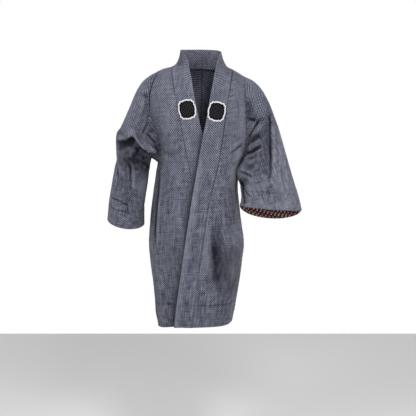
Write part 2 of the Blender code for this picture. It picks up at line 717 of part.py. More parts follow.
def make_patch(side, band_rows, patch_material):
    """A plate with a lobed edge that lies on the collar band: the band's own points, moved out."""
    centre_x, centre_z = PATCH_CENTRES[side]
    stand_off = COLLAR_WALL / 2 + SEAM + PATCH_EASE + PATCH_WALL / 2
    mesh = bmesh.new()

    def place(x, z):
        point = on_band(band_rows, x, z)
        beside = on_band(band_rows, x + NEARBY, z) - on_band(band_rows, x - NEARBY, z)
        above = on_band(band_rows, x, z + NEARBY) - on_band(band_rows, x, z - NEARBY)
        out = above.cross(beside).normalized()
        return mesh.verts.new(point + out * math.copysign(stand_off, -out.y))

    middle = place(centre_x, centre_z)
    circles = []
    for ring in range(1, PATCH_RINGS + 1):
        share = ring / PATCH_RINGS
        edge = [patch_edge(side, 2 * math.pi * turn / PATCH_TURNS) for turn in range(PATCH_TURNS)]
        circles.append([place(centre_x + x * share, centre_z + z * share) for x, z in edge])
    for i in range(PATCH_TURNS):
        mesh.faces.new((middle, circles[0][i], circles[0][(i + 1) % PATCH_TURNS]))
    for low, high in zip(circles, circles[1:]):
        for i in range(PATCH_TURNS):
            j = (i + 1) % PATCH_TURNS
            mesh.faces.new((low[i], high[i], high[j], low[j]))
    name = f"collar_patch_{SIDES[side]}"
    data = bpy.data.meshes.new(name)
    mesh.to_mesh(data)
    mesh.free()
    cloth(name, data, PATCH_WALL, patch_material, Vector((centre_x, IN_FRONT, centre_z)))


def make_coat():
    check = material("indigo_check_cotton", CHECK_CLOTH)
    maroon = material("maroon_print_cotton", FACING_CLOTH)
    black = material("black_patch_felt", PATCH_CLOTH)
    panels = {side: [station.row(side) for station in STATIONS] for side in SIDES}
    sleeves = {side: sleeve_rings(side, armhole_loop(panels[side])) for side in SIDES}
    part_panels_at_back(panels)
    bands = make_collar(panels, check)
    for side, word in SIDES.items():
        part_panel_at_side(panels[side])
        sew_sleeve(panels[side], sleeves[side])
        body = grid_mesh(f"body_{word}", panels[side])
        cloth(f"body_{word}", body, WALL, check, Vector((side * 0.1, IN_FRONT, -0.5)))
        tube = grid_mesh(f"sleeve_{word}", sleeves[side], closed=True)
        cloth(f"sleeve_{word}", tube, WALL, check, Vector((side * FAR_OUT, 0.0, -0.2)))
        band = grid_mesh(f"cuff_facing_{word}", facing_rings(sleeves[side]), closed=True)
        cloth(f"cuff_facing_{word}", band, FACING_WALL, maroon, Vector((side * FAR_OUT, 0.0, -0.5)))
        make_patch(side, bands[side][: RIDGE + 1], black)


for old in list(bpy.data.objects):
    bpy.data.objects.remove(old, do_unlink=True)
COAT = bpy.data.collections.new("kimono_coat")
bpy.context.scene.collection.children.link(COAT)
make_coat()
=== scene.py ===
"""The kimono coat's looks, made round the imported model.

Each cloth piece is a thin shell on its solid's form, with finer folds, a fine indigo and white check, sewn
seams, hems and cuffs. +Z is up, the front faces -Y and +X is the wearer's left. Tables hold millimetres,
degrees and shares; all other lengths are in metres. The tables from the body to the sleeves' folds, and the
curves between their rows, are those of the solids, sampled more finely.
"""

import math

import bmesh
import bpy
import numpy as np
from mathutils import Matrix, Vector
from mathutils.bvhtree import BVHTree


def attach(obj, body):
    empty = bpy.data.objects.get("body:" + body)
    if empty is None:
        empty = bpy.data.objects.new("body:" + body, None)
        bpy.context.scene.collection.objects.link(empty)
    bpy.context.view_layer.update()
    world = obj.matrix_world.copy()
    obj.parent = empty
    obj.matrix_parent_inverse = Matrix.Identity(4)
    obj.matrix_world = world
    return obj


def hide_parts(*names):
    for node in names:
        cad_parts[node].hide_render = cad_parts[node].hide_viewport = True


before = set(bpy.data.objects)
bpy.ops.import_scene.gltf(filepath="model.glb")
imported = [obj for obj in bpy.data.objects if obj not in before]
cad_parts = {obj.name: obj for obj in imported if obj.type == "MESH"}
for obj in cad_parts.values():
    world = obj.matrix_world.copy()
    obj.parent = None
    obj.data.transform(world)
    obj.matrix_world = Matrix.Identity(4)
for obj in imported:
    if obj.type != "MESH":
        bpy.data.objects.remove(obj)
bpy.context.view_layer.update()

# Camera, from the photograph's view
LENS, SENSOR = 72.0, 36.0  # millimetres
CAMERA_AT = (0.0216, -3.0, -0.165)
CAMERA_DIPS = 6.4  # degrees below level

# Cloth
CLOTH = 0.0009
COLLAR = 0.0027  # the band is folded double
FACING = 0.0008
HEM_EXTRA = 0.0009  # the turned-up hem doubles the cloth
HEM_DEPTH = 0.080
CUFF_DEPTH = 0.060
PANEL_WIDTH, SLEEVE_RUN, COLLAR_WIDTH = 0.200, 0.380, 0.072
CHEST_LENGTH, NECK_HALF_ROUND = 0.215, 0.150

# How finely the cloth is made
FINE, FINE_COLLAR = 0.0036, 0.0034  # spacing of the points
NARROW = 0.0011  # spacing right at a seam
WIDENS = 0.25  # how much the spacing grows with the distance from one
LOW_BACK_LINES = 25
SETTLING_TURNS = 8
AXIS_SPAN = 12  # rings over which a sleeve's direction is taken
EASE_STEP, EASE_TURNS = 8, 60  # points between those moved when a sleeve is laid out flat, and how often
SEWN_OVER = 0.035
RIM_TURNS = tuple(math.radians(turn) for turn in (45, 90, 135))

# Heights
HEM_Z = -0.913
ARMPIT_Z = -0.330
SHOULDER_ROUND = 0.110  # how far below the shoulder line the chest and back are fully out

# Lap of the left front over the right one
LAP = 0.0072
LAP_BELOW = (-0.100, -0.205)  # where it begins and is full, by height and by X
LAP_INSIDE = (0.132, 0.088)

# Body section and neck
SQUARENESS = 2.2  # 2 is an ellipse
NECK_SEAM_X = 0.108  # where the collar seam crosses the shoulder line
NAPE_ANGLE = math.radians(45.6)
BAND_LEAN = 0.35  # where the band is sunk across its width, it also leans this much towards the neck
BAND_STANDS = (-90.0, -72.0)  # turns over which the band rises off the chest

# A sleeve's folds are placed as if it had this girth and length
SLEEVE_GIRTH, SLEEVE_LENGTH = 0.60, 0.42
FOLD_FADES_OVER, FOLD_RUNS_PAST = 0.2, 0.15
SLEEVE_BLEND = 0.30  # over this share of its length a sleeve turns from the armhole's shape to its own

# Waves over the whole cloth: height, longest, shortest, stretch along X, Y and Z
BODY_WAVES = 0.0009, 0.085, 0.030, (1.0, 1.0, 3.2)
SKIRT_WAVES = 0.0012, 0.150, 0.070, (1.0, 1.0, 3.5)
BODY_RIPPLES = 0.00035, 0.026, 0.013, (1.0, 1.0, 1.6)
SLEEVE_WAVES = 0.0009, 0.080, 0.032, (1.6, 1.6, 2.2)
SLEEVE_RIPPLES = 0.00035, 0.026, 0.013, (1.0, 1.0, 1.0)
COLLAR_WAVES = 0.0007, 0.110, 0.040, (1.0, 1.0, 2.4)
COLLAR_RIPPLES = 0.0003, 0.024, 0.012, (1.0, 1.0, 1.6)
WAVE_COUNT, WAVE_SHARE = 14, 0.7
BODY_FREE, SKIRT_FREE = (-0.02, -0.12), (-0.35, -0.75)  # heights over which the cloth comes free
SLEEVE_FREE = (0.0, 0.15)  # shares of the sleeve

# Creases, by kind where it matters
TAPERS = {"hollow": 0.10, "overhang": 0.10, "fading": 0.35}
USUAL_TAPER = 0.28
CREASE_REACH = 3.2  # in widths
CREASE_UNEVEN, CREASE_WAVES = 0.35, (5.0, 9.0)
SEEN_FROM = 0.02  # the cloth is seen where its normal turns this much to the view
TROUGH_RIMS, STEP_SLOPE, OVERHANG_REACH = 0.9, 1.9, 1.6
HOLLOW_LIP, OVERHANG_LIP = (-0.04, 0.16), (0.30, 0.0)
STEP_SLIDES = 0.7  # how far a step's cloth slides over what it overhangs, as a share of its depth
# Painted shade under the upper edge of a deep hollow
HOLLOW_SHADE_FROM = (-0.02, 0.06)
HOLLOW_SHADE_REACH, HOLLOW_SHADE_DEPTH = 0.85, 0.026  # a deep hollow is darker under its upper edge

# Seams, stitches and edges
SEAM_GROOVE, SEAM_WIDE = 0.0008, 0.0016
SEAM_PUCKER, COLLAR_PUCKER, HEM_PUCKER = 0.0006, 0.0004, 0.0005
PUCKER_SPACING, HEM_PUCKER_SPACING = 0.013, 0.016
PUCKER_WAVES, PUCKER_UNEVEN, PUCKER_SUM = 5, (0.7, 1.8), 2.2
PUCKER_FROM, PUCKER_REACH, HEM_PUCKER_REACH = 0.0025, 0.011, 0.010
FRONT_SEAM_LIFT = (-0.60, -0.45), 0.3, 1.0  # between these heights it rises from one strength to the other
FRONT_SEAM_SHADE = (-0.56, -0.40), 0.08, 1.0
BAND_SEAM_SHADE = (-0.56, -0.40), 0.05, 0.95
HEM_LINE, HEM_LINE_WIDE = 0.0006, 0.0018
HEM_TURN = 0.002
HEM_CORNER_DROP, HEM_CORNER_IN = 0.0090, 0.0070
HEM_CORNER_FROM = (-0.075, -0.150), (0.030, -0.030), (HEM_Z + 0.160, HEM_Z)  # X, Y and height
HEM_FLANK_FROM = (-0.090, -0.165), (HEM_Z + 0.055, HEM_Z)  # X and height
EDGE_STANDS_OFF = 0.0045  # the front edge of the lap, where it hangs free
EDGE_FREE, EDGE_FREE_WIDE = (-0.30, -0.42), 0.035
FACING_GAP, FACING_SET_BACK, FACING_OVER = 0.0002, 0.0012, 0.001
THREAD = 0.0007
STITCH_RINGS, STITCH_SIDES = 5, 6
STITCH_GAP, STITCH_LENGTH, STITCH_INSET = 0.0075, 0.0030, 0.0025
STITCH_RISE, STITCH_BEND = 0.55, 1.1  # in thread widths

# Painted shade, and painted highlight with some wear
SUNK, SUNK_MOST, SHARPLY_SUNK, SHARPLY_MOST = 0.006, 0.35, 0.0016, 0.5
RAISED, RAISED_MOST, SHARPLY_RAISED = 0.005, 0.6, 0.0012
BLUR_TURNS = 6
SEAM_SHADE = 0.0018
ARMHOLE_SHADE = {-1: 0.9, 1: 0.2}
HEM_SHADE, BAND_SHADE_WIDE = 0.85, 0.0020
SLEEVE_SEAM_SHADE, UNDERARM_SHADE, CUFF_SHADE = (0.0018, 0.9), (0.0016, 0.8), (0.0015, 0.5)
DEEP_SHADE = 1.4
SHOULDER_SHADE = (-0.200, -0.120), (-0.005, -0.035), 0.0055  # heights where it comes and goes, and its width
# Painted shadow beside the free front edge that lies over the cloth
EDGE_SHADE, EDGE_SHADE_SHARE = (0.0034, 0.0170), 0.54
EDGE_SHADE_COMES, EDGE_SHADE_ENDS = (-0.004, 0.0), 0.03
# Painted highlight along the band's free edge
EDGE_HIGHLIGHT, EDGE_HIGHLIGHT_WIDE = 0.35, 0.0030

# Patches
PATCH = 0.0010
PATCH_WIDTH, PATCH_HEIGHT = 0.058, 0.066
PATCH_SQUARENESS = 3.4
PATCH_LOBES, PATCH_LOBE_DEPTH = 12, 0.035
PATCH_LEAN = math.radians(11)
PATCH_CENTRES = {-1: (-0.0500, -0.147), 1: (0.0515, -0.154)}
PATCH_RINGS, PATCH_TURNS, PATCH_CROWDING = 20, 144, 1.25
PATCH_GAP, BORDER_RAISED = 0.0001, 0.0003
STITCHES_ROUND = 110
BORDER_FROM, BORDER_EDGE, BORDER_FRAY, BORDER_RISES = 0.87, 0.012, 0.006, (-0.03, 0.02)
STITCH_DARKER, FUZZ_RISE, STITCHES_RISE = 0.14, 0.4, 1.5
LATTICE, LATTICE_WITHIN, LATTICE_SIZE, LATTICE_LINE = 0.0145, 0.74, 0.30, (0.00075, 0.00045)
FUZZ_GRAIN = (1500.0, 1500.0)

# Colours and patterns. Crisp is how strongly the check shows.
CHECK, CHECKER_SHARE = 0.0078, 0.75
CHECK_WHITE, CHECK_CONTRAST = 0.42, 0.85  # the light threads' share, and its contrast
CRISP_CONTRAST, CRISP_DARKER = 2.1, -0.10
CRISP_FROM, CRISP_UNTIL = (0.0, 0.03), {-1: (0.24, 0.17), 1: (0.15, 0.06)}  # metres down the sleeves
# Painted shade lower down the wearer's right sleeve, darker with a stronger check, and painted light lower
# down the left one, lighter with a softer check
LOWER_SLEEVE_CRISP = {-1: 0.05, 1: -0.12}  # the same mark lower down the sleeves
CHEST_CRISP, CHEST_CRISP_ABOVE = 0.35, (-0.50, -0.30)
# where shade is painted on the front, the check also shows more strongly
PAINTED_SHADE_CRISP = 0.30
TONE_PLACES, TONE_SEEN = 24, (0.1, -0.2)
# Grain is how often a pattern repeats in a metre, across and along the cloth.
SWAY_GRAIN, SWAY = (9.0, 9.0), 0.004
THREAD_GRAIN, THREADS = (900.0, 30.0), 0.35
SLUB_GRAIN, SLUBS = (300.0, 22.0), 0.85
STREAK_GRAIN, CROSS_STREAK_GRAIN, CROSS_STREAKS, STREAKS = (170.0, 30.0), (40.0, 150.0), 0.6, 0.75
BLOT_GRAIN, BLOTS = (62.0, 62.0), 0.35
PATCHY_GRAIN, PATCHY_FROM, PATCHY = (14.0, 9.0), (0.3, 0.7), 0.16
STRIPE_EDGE = 0.0003
CHECK_THREAD, MAROON_THREAD = 0.00045, 0.0004
COTTON_ROUGHNESS, PRINT_ROUGHNESS, PATCH_ROUGHNESS, THREAD_ROUGHNESS = 0.86, 0.88, 0.9, 0.8
SHADE_SHARE, HIGHLIGHT_AND_WEAR_SHARE, THREADS_RISE = 0.8, 0.22, 0.8
INDIGO = (0.018, 0.021, 0.048, 1.0)
WHITE_YARN = (0.285, 0.294, 0.348, 1.0)
PATCHY_COLOUR = (0.05, 0.055, 0.08, 1.0)
# Colours for the painted shade, and for the painted highlight with some wear
SHADE_COLOUR = (0.010, 0.011, 0.020, 1.0)
HIGHLIGHT_AND_WEAR_COLOUR = (0.36, 0.37, 0.42, 1.0)
THREAD_COLOUR = (0.03, 0.035, 0.07, 1.0)
MAROON_DARK, MAROON_LIGHT = (0.036, 0.004, 0.006, 1.0), (0.125, 0.024, 0.027, 1.0)
MOTIF_COLOUR = (0.56, 0.49, 0.46, 1.0)
MOTIF_STEP, MOTIF_ROW = 0.024, 0.018
PETALS, PETAL_DEPTH, FLOWER, FLOWER_EDGE = 5.0, 0.0010, 0.0050, 0.0003
EYE, VEIN_FROM, VEIN_UNTIL = (0.0020, 0.0014), (-0.93, -0.80), (0.0042, 0.0036)
STROKE_OFF, STROKE_LEAN, STROKE_WIDE, STROKE_LONG = 0.0006, 0.45, (0.0013, 0.0008), (0.0052, 0.0046)
PRINT_GRAIN, PRINT_WORN = (900.0, 900.0), (0.2, 0.6, 0.72, 1.0)
PATCH_DARK, PATCH_LIGHT = (0.002, 0.002, 0.003, 1.0), (0.008, 0.008, 0.010, 1.0)
LATTICE_COLOUR = (0.10, 0.10, 0.11, 1.0)
BORDER_DARK, BORDER_COLOUR = (0.30, 0.30, 0.31, 1.0), (0.66, 0.66, 0.67, 1.0)

# Studio
WORLD_ABOVE = 0.20, 0.55, 1.0, 0.15  # from and to these heights, and the brightness there
WORLD_BEHIND = -0.05, 0.15, 0.0, 1.0
WHITE, FLOOR_COLOUR = (1.0, 1.0, 1.0, 1.0), (0.82, 0.82, 0.82, 1.0)
FLOOR_Z, FLOOR_HALF = -1.45, 1.8
GAMMA = 0.85
LIT = (0.0, 0.0, -0.40)
LIGHTS = (
    ("key", (0.42, -1.55, 1.05), 20.0, 0.5),
    ("left", (-1.25, -1.05, 1.00), 12.5, 0.5),
    ("right", (1.98, -1.92, 0.09), 15.0, 0.6),
)

SIDES = {-1: "right", 1: "left"}  # the wearer's
SKIRT, CHEST, SHOULDER_ZONE = 0, 1, 2
NOT_LENGTHS = ("along", "turn", "angle", "spread")


def units(columns):
    """What a table's columns are divided by, to make metres of millimetres."""
    return [1.0 if name.split("_")[-1] in NOT_LENGTHS else 1000.0 for name in columns]


def by_name(columns, row):
    return dict(zip(columns, np.array(row) / units(columns)))


class Table:
    """Rows of named columns, read between its rows on a smooth curve that never overshoots them."""

    def __init__(self, columns, rows):
        values = np.array(rows, float)
        values = values[np.argsort(values[:, 0])] / units(columns)
        self.keys = values[:, 0]
        self.values = dict(zip(columns[1:], values[:, 1:].T))
        self.slopes = {name: self.slopes_of(column) for name, column in self.values.items()}

    def slopes_of(self, column):
        steps = np.diff(self.keys)
        rises = np.diff(column) / steps
        slopes = np.concatenate([rises[:1], np.zeros(len(rises) - 1), rises[-1:]])
        for i in range(1, len(rises)):
            if rises[i - 1] * rises[i] > 0:
                before, after = 2 * steps[i] + steps[i - 1], steps[i] + 2 * steps[i - 1]
                slopes[i] = (before + after) / (before / rises[i - 1] + after / rises[i])
        return slopes

    def at(self, key, name):
        key = np.clip(key, self.keys[0], self.keys[-1])
        i = np.clip(np.searchsorted(self.keys, key) - 1, 0, len(self.keys) - 2)
        step = self.keys[i + 1] - self.keys[i]
        t = (key - self.keys[i]) / step
        low, high = self.values[name][i], self.values[name][i + 1]
        rise_low, rise_high = self.slopes[name][i] * step, self.slopes[name][i + 1] * step
        return (
            low * (1 + 2 * t) * (1 - t) ** 2
            + rise_low * t * (1 - t) ** 2
            + high * t * t * (3 - 2 * t)
            - rise_high * t * t * (1 - t)
        )


def sided(columns, right, left):
    return {-1: Table(columns, right), 1: Table(columns, left)}


# The body's level sections, from the hem to the shoulders
BODY = Table(
    ("height", "centre_x", "half_width", "front_depth", "back_depth"),
    (
        (-913, -28.8, 137.8, 118, 98), (-860, -25.6, 145.4, 121, 102), (-786, -23.2, 155.9, 124, 107),
        (-700, -22.5, 166.2, 127, 112), (-630, -21, 171.8, 128, 114), (-567, -22, 167, 128, 113),
        (-483, -23.6, 157.6, 127, 108), (-436, -23, 151.5, 126, 103), (-389, -18.5, 148.5, 125, 99),
        (-360, -13.5, 149, 125, 99), (-330, -4, 154, 126, 101), (-290, 3, 161.5, 127, 105),
        (-240, 0, 168.5, 127, 109), (-200, -7, 176, 125, 112), (-150, -14, 182, 121, 113),
        (-100, -15, 182, 116, 112), (-64, -12, 178, 112, 110), (-30, -6, 170, 108, 107),
        (0, 0, 162, 105, 105), (40, 0, 160, 105, 105),
    ),
)

# The shoulder line from the neck outwards. The wearer's right shoulder stands a little higher.
SHOULDER = sided(
    ("out", "height"),
    ((0, 35), (70, 22), (92, 11), (108, 4), (130, -1), (165, -15)),
    ((0, 35), (70, 16), (84, 8), (102, -2), (121, -12), (165, -40)),
)

# Where the collar's sewn edge and its free edge run down each front, as X at each height
FRONT_EDGES = sided(
    ("height", "seam_x", "free_x"),
    (
        (-913, -6, 62), (-650, -14, 55), (-488, -24, 44), (-324, -48, 20), (-252, -62.5, 6.5),
        (-193, -73.5, -8), (-128, -84.9, -21.5), (-80, -95.5, -31), (-30, -103.5, -44), (3, -108, -56),
    ),
    (
        (-913, -32, -94.5), (-790, -19, -79.5), (-640, 1, -59), (-488, 21.3, -37.5), (-327, 57, -10.5),
        (-272, 66.5, -0.8), (-227, 72.5, 7.2), (-184, 78.4, 16.2), (-123, 88.5, 27), (-95, 93.7, 31.5),
        (-48, 103, 42), (-7, 108, 52),
    ),
)

# Round the neck the band stands up. Rows go from the chest (-90) over the shoulder line (0) to the nape.
# Hollow is how far the middle of the band's width sinks below a straight line across it.
NECK_EDGE = sided(
    ("turn", "out", "y", "z", "hollow"),
    (
        (-90, 28.5, -108, -92, 0), (-72, 35, -93, -50, 2), (-54, 43, -66, -10, 4), (-36, 50, -38, 21, 6),
        (-18, 59, -12, 44, 8), (0, 69, 8, 57, 10), (14, 75.5, 24, 64, 10), (27, 70, 39, 66, 8),
        (36, 56, 50, 67, 6), (42, 34, 57, 67.5, 5), (45.6, 0, 61, 68, 5),
    ),
    (
        (-90, 32.5, -108, -94, 0), (-72, 39.5, -91, -54, 2), (-54, 46, -66, -20, 4), (-36, 52, -39, 10, 6),
        (-18, 58, -13, 34, 8), (0, 63.5, 7, 47, 10), (14, 68, 23, 56, 10), (27, 64, 38, 61, 8),
        (36, 53, 49, 64.5, 6), (42, 33, 56.5, 66.5, 5), (45.6, 0, 61, 68, 5),
    ),
)

# The armhole's front and back edges and, below it, the side seam, as angles round the body's section:
# 0 is the flank, 90 the middle of the front and -90 the middle of the back.
SIDE_EDGES = sided(
    ("height", "front_angle", "back_angle"),
    (
        (-913, 30, 30), (-560, 31, 31), (-330, 27, 27), (-324, 26, 7), (-309, 25, -8), (-285, 23.5, -18),
        (-240, 23.5, -28), (-150, 23, -33), (-60, 25, -30), (-10, 24.5, -24.5),
    ),
    (
        (-913, 6, 6), (-560, 7, 7), (-330, 19, 19), (-324, 20, 5), (-309, 21, -8), (-285, 22, -18),
        (-240, 23.5, -28), (-150, 23, -33), (-60, 25, -30), (-25, 24.5, -24.5),
    ),
)

# The centre-back seam sits a little to the wearer's right low down, as the lap pulls the coat round.
CENTRE_BACK = Table(
    ("height", "x"),
    ((-913, -44), (-630, -35), (-330, -14), (-100, -2), (10, 0)),
)

# Soft folds of the body, as angles right round it from the wearer's left flank (0) by the front (90)
BODY_FOLD_COLUMNS = ("angle", "spread", "top", "bottom", "depth")
BODY_FOLDS = (
    (22, 15, -520, -1150, -6), (48, 16, -450, -1150, 4.5), (76, 16, -560, -1150, -3),
    (120, 14, -500, -1150, -3.5), (150, 20, -640, -940, 13), (172, 14, -420, -1150, -6),
    (205, 18, -480, -1150, 6), (238, 18, -520, -1150, -7), (272, 18, -480, -1150, 6),
    (305, 18, -500, -1150, -6), (336, 16, -460, -1150, 5),
)

# Sleeve sections from the armhole (0) to the cuff (1). Inner is the underarm line and outer the line along
# the top of the arm. Lifts raise the front and back of a section off the straight line between the two.
SLEEVE_COLUMNS = (
    "along", "inner_x", "inner_z", "outer_x", "outer_z", "centre_y",
    "front_depth", "back_depth", "front_lift", "back_lift",
)
SLEEVE = sided(
    SLEEVE_COLUMNS,
    (
        (0, 143, -330, 150, -12, 10, 64, 75, 0, 0), (0.07, 162, -321, 182, -27, 8, 70, 75, 2, 0),
        (0.14, 173, -318, 209, -48, 5, 76, 75, 8, 0), (0.21, 180, -320, 236, -90, 2, 80, 74, 20, 0),
        (0.29, 184, -331, 257, -143, 0, 83, 73, 36, 0), (0.37, 187, -345, 277, -194, 0, 84, 72, 56, 0),
        (0.44, 189, -358, 294.6, -236, -2, 82, 72, 70, -4),
        (0.49, 191, -370, 308, -262, -4, 74, 72, 76, -8),
        (0.53, 192.5, -382, 308.5, -285, -6, 48, 72, 83, -10),
        (0.59, 195, -402, 306, -330, -8, 50, 71, 74, -8), (0.67, 199, -430, 314, -376, -11, 64, 71, 66, -4),
        (0.75, 204, -460, 324, -424, -14, 75, 73, 55, 0),
        (0.83, 208.5, -494, 332, -466, -17, 81, 76, 38, 0),
        (0.91, 208.5, -524, 337, -500, -19, 85, 78, 12, 0),
        (1, 208.5, -555, 340.5, -533, -20, 88, 80, -18, 0),
    ),
    (
        (0, 145, -330, 147, -31, 5, 60, 75, 0, 0), (0.09, 164, -325, 180, -46, -4, 66, 76, 0, 0),
        (0.18, 166, -333, 206.5, -69, -12, 70, 76, 0, 0), (0.27, 160, -348, 230, -108, -22, 71, 76, 0, 0),
        (0.36, 149, -367, 248, -150, -32, 71, 75, 0, 0), (0.45, 142, -382, 264, -195, -40, 70, 73, 0, -5),
        (0.54, 137, -399, 280, -243, -46, 69, 71, 0, -10),
        (0.63, 136, -417, 296, -297, -50, 68, 69, 0, -16),
        (0.72, 138, -434, 311, -349, -53, 67, 67, 0, -23),
        (0.81, 140, -450, 327, -401, -56, 66, 65, 0, -31), (0.9, 139, -467, 341, -448, -58, 64, 63, 0, -39),
        (1, 134.5, -484, 354, -500, -60, 62, 62, -2, -47),
    ),
)

# Folds of the sleeves: they run from one place to another, as share of the length and turn round the
# sleeve, where 0 is the underarm line, 90 the front, 180 the top of the arm and 270 the back.
SLEEVE_FOLD_COLUMNS = ("from_along", "from_turn", "to_along", "to_turn", "width", "depth")
SLEEVE_FOLDS = {
    -1: (
        (0.1, 118, 0.4, 70, 20, 5), (0.12, 60, 0.34, 30, 22, -8), (0.3, 300, 0.52, 215, 22, -8),
        (0.6, 120, 0.9, 118, 20, -4), (0.62, 255, 0.95, 262, 22, 6),
    ),
    1: (
        (0.26, 122, 0.92, 112, 22, 8.5), (0.2, 92, 0.3, 46, 18, -8.5), (0.32, 70, 0.62, 60, 26, -7),
        (0.25, 250, 0.9, 262, 24, 7), (0.3, 300, 0.6, 315, 24, -8),
    ),
}

# How the cloth under the arm hangs: share along the sleeve, then how far it moves along X, Y and Z
SLEEVE_UNDERSIDE = {
    -1: (
        (0, 0, 0, 0), (0.04, 4, -4, -10), (0.09, 6, -6, -13), (0.15, 4, -4, -8), (0.24, 0, 0, 0),
        (1, 0, 0, 0),
    ),
    1: (
        (0, 0, 0, 0), (0.08, -2, -4, 0), (0.165, -15, -12, -4), (0.2, -26, -18, -6),
        (0.24, -32, -22, -6), (0.28, -34, -26, -4), (0.35, -28, -24, 0), (0.43, -20.5, -20, 0),
        (0.505, -12.6, -12, 0), (0.58, -3, -3, 0), (0.64, 0, 0, 0), (1, 0, 0, 0),
    ),
}

# Fine folds: kind, width, depth and the places they run through on the cloth seen squarely
# from the front or the back, as (X, Z). A ridge stands out and a trough sinks in. A step and an overhang
# lean over what lies to their right. A hollow sinks in on its right only, and a fading one has softer ends.
BODY_CREASES = {
    (-1, "front"): (
        ("step", 8, 3, ((-143, -345), (-146, -400), (-152, -470), (-158, -560), (-160, -660))),
        ("fading", 26, 9.5, ((-142, -325), (-148, -400), (-153, -470), (-158, -540), (-160, -640))),
        ("trough", 5, 1.4, ((-156, -400), (-163, -470), (-169, -560))),
        ("ridge", 5, 1, ((-150, -430), (-157, -500), (-164, -600))),
        ("trough", 14, 1, ((-150, -270), (-122, -300), (-84, -312))),
        ("ridge", 18, 1.4, ((-70, -400), (-74, -540), (-68, -680))),
        ("trough", 18, 1.4, ((-112, -440), (-117, -600), (-112, -760))),
        ("trough", 16, 1.6, ((-48, -640), (-52, -750), (-58, -880))),
        ("ridge", 12, 1.4, ((-126, -110), (-122, -180), (-126, -240))),
    ),
    (1, "front"): (
        ("trough", 7, 2.6, ((150, -266), (132, -276), (112, -290), (92, -300))),
        ("ridge", 8, 1.6, ((150, -246), (126, -262), (98, -276))),
        ("trough", 12, 1.4, ((146, -318), (124, -332), (96, -342))),
        ("ridge", 5, 1.6, ((73, -445), (74, -500), (77, -560))),
        ("ridge", 30, 3, ((12, -480), (16, -600), (10, -760))),
        ("trough", 34, 3.6, ((48, -500), (48, -600), (50, -720), (55, -820))),
        ("ridge", 22, 2.4, ((112, -560), (110, -660), (100, -780))),
        ("trough", 11, 1, ((124, -100), (130, -160), (130, -220))),
        ("trough", 11, 1.2, ((124, -380), (118, -450), (116, -540))),
    ),
    (-1, "back"): (
        ("trough", 7.5, 2.2, ((-140, -318), (-110, -342), (-70, -352))),
        ("ridge", 7.5, 1.6, ((-138, -292), (-104, -310), (-64, -316))),
        ("trough", 7, 1.8, ((-132, -200), (-120, -250), (-92, -290))),
        ("trough", 10, 1.8, ((-110, -420), (-116, -560), (-112, -700))),
        ("ridge", 9, 1.4, ((-70, -480), (-76, -610), (-70, -760))),
        ("trough", 7, 1.2, ((-140, -600), (-144, -700), (-140, -820))),
        ("ridge", 9, 1.4, ((-90, -60), (-60, -75), (-20, -80))),
    ),
    (1, "back"): (
        ("trough", 7.5, 2.2, ((146, -318), (118, -340), (82, -346))),
        ("ridge", 7.5, 1.6, ((144, -288), (112, -306), (74, -308))),
        ("trough", 7, 1.6, ((134, -190), (124, -240), (98, -282))),
        ("trough", 10, 1.8, ((72, -440), (66, -570), (60, -720))),
        ("ridge", 9, 1.4, ((30, -500), (22, -640), (18, -790))),
        ("trough", 7, 1.4, ((110, -560), (102, -680), (96, -810))),
        ("ridge", 9, 1.4, ((86, -66), (56, -80), (20, -82))),
    ),
}
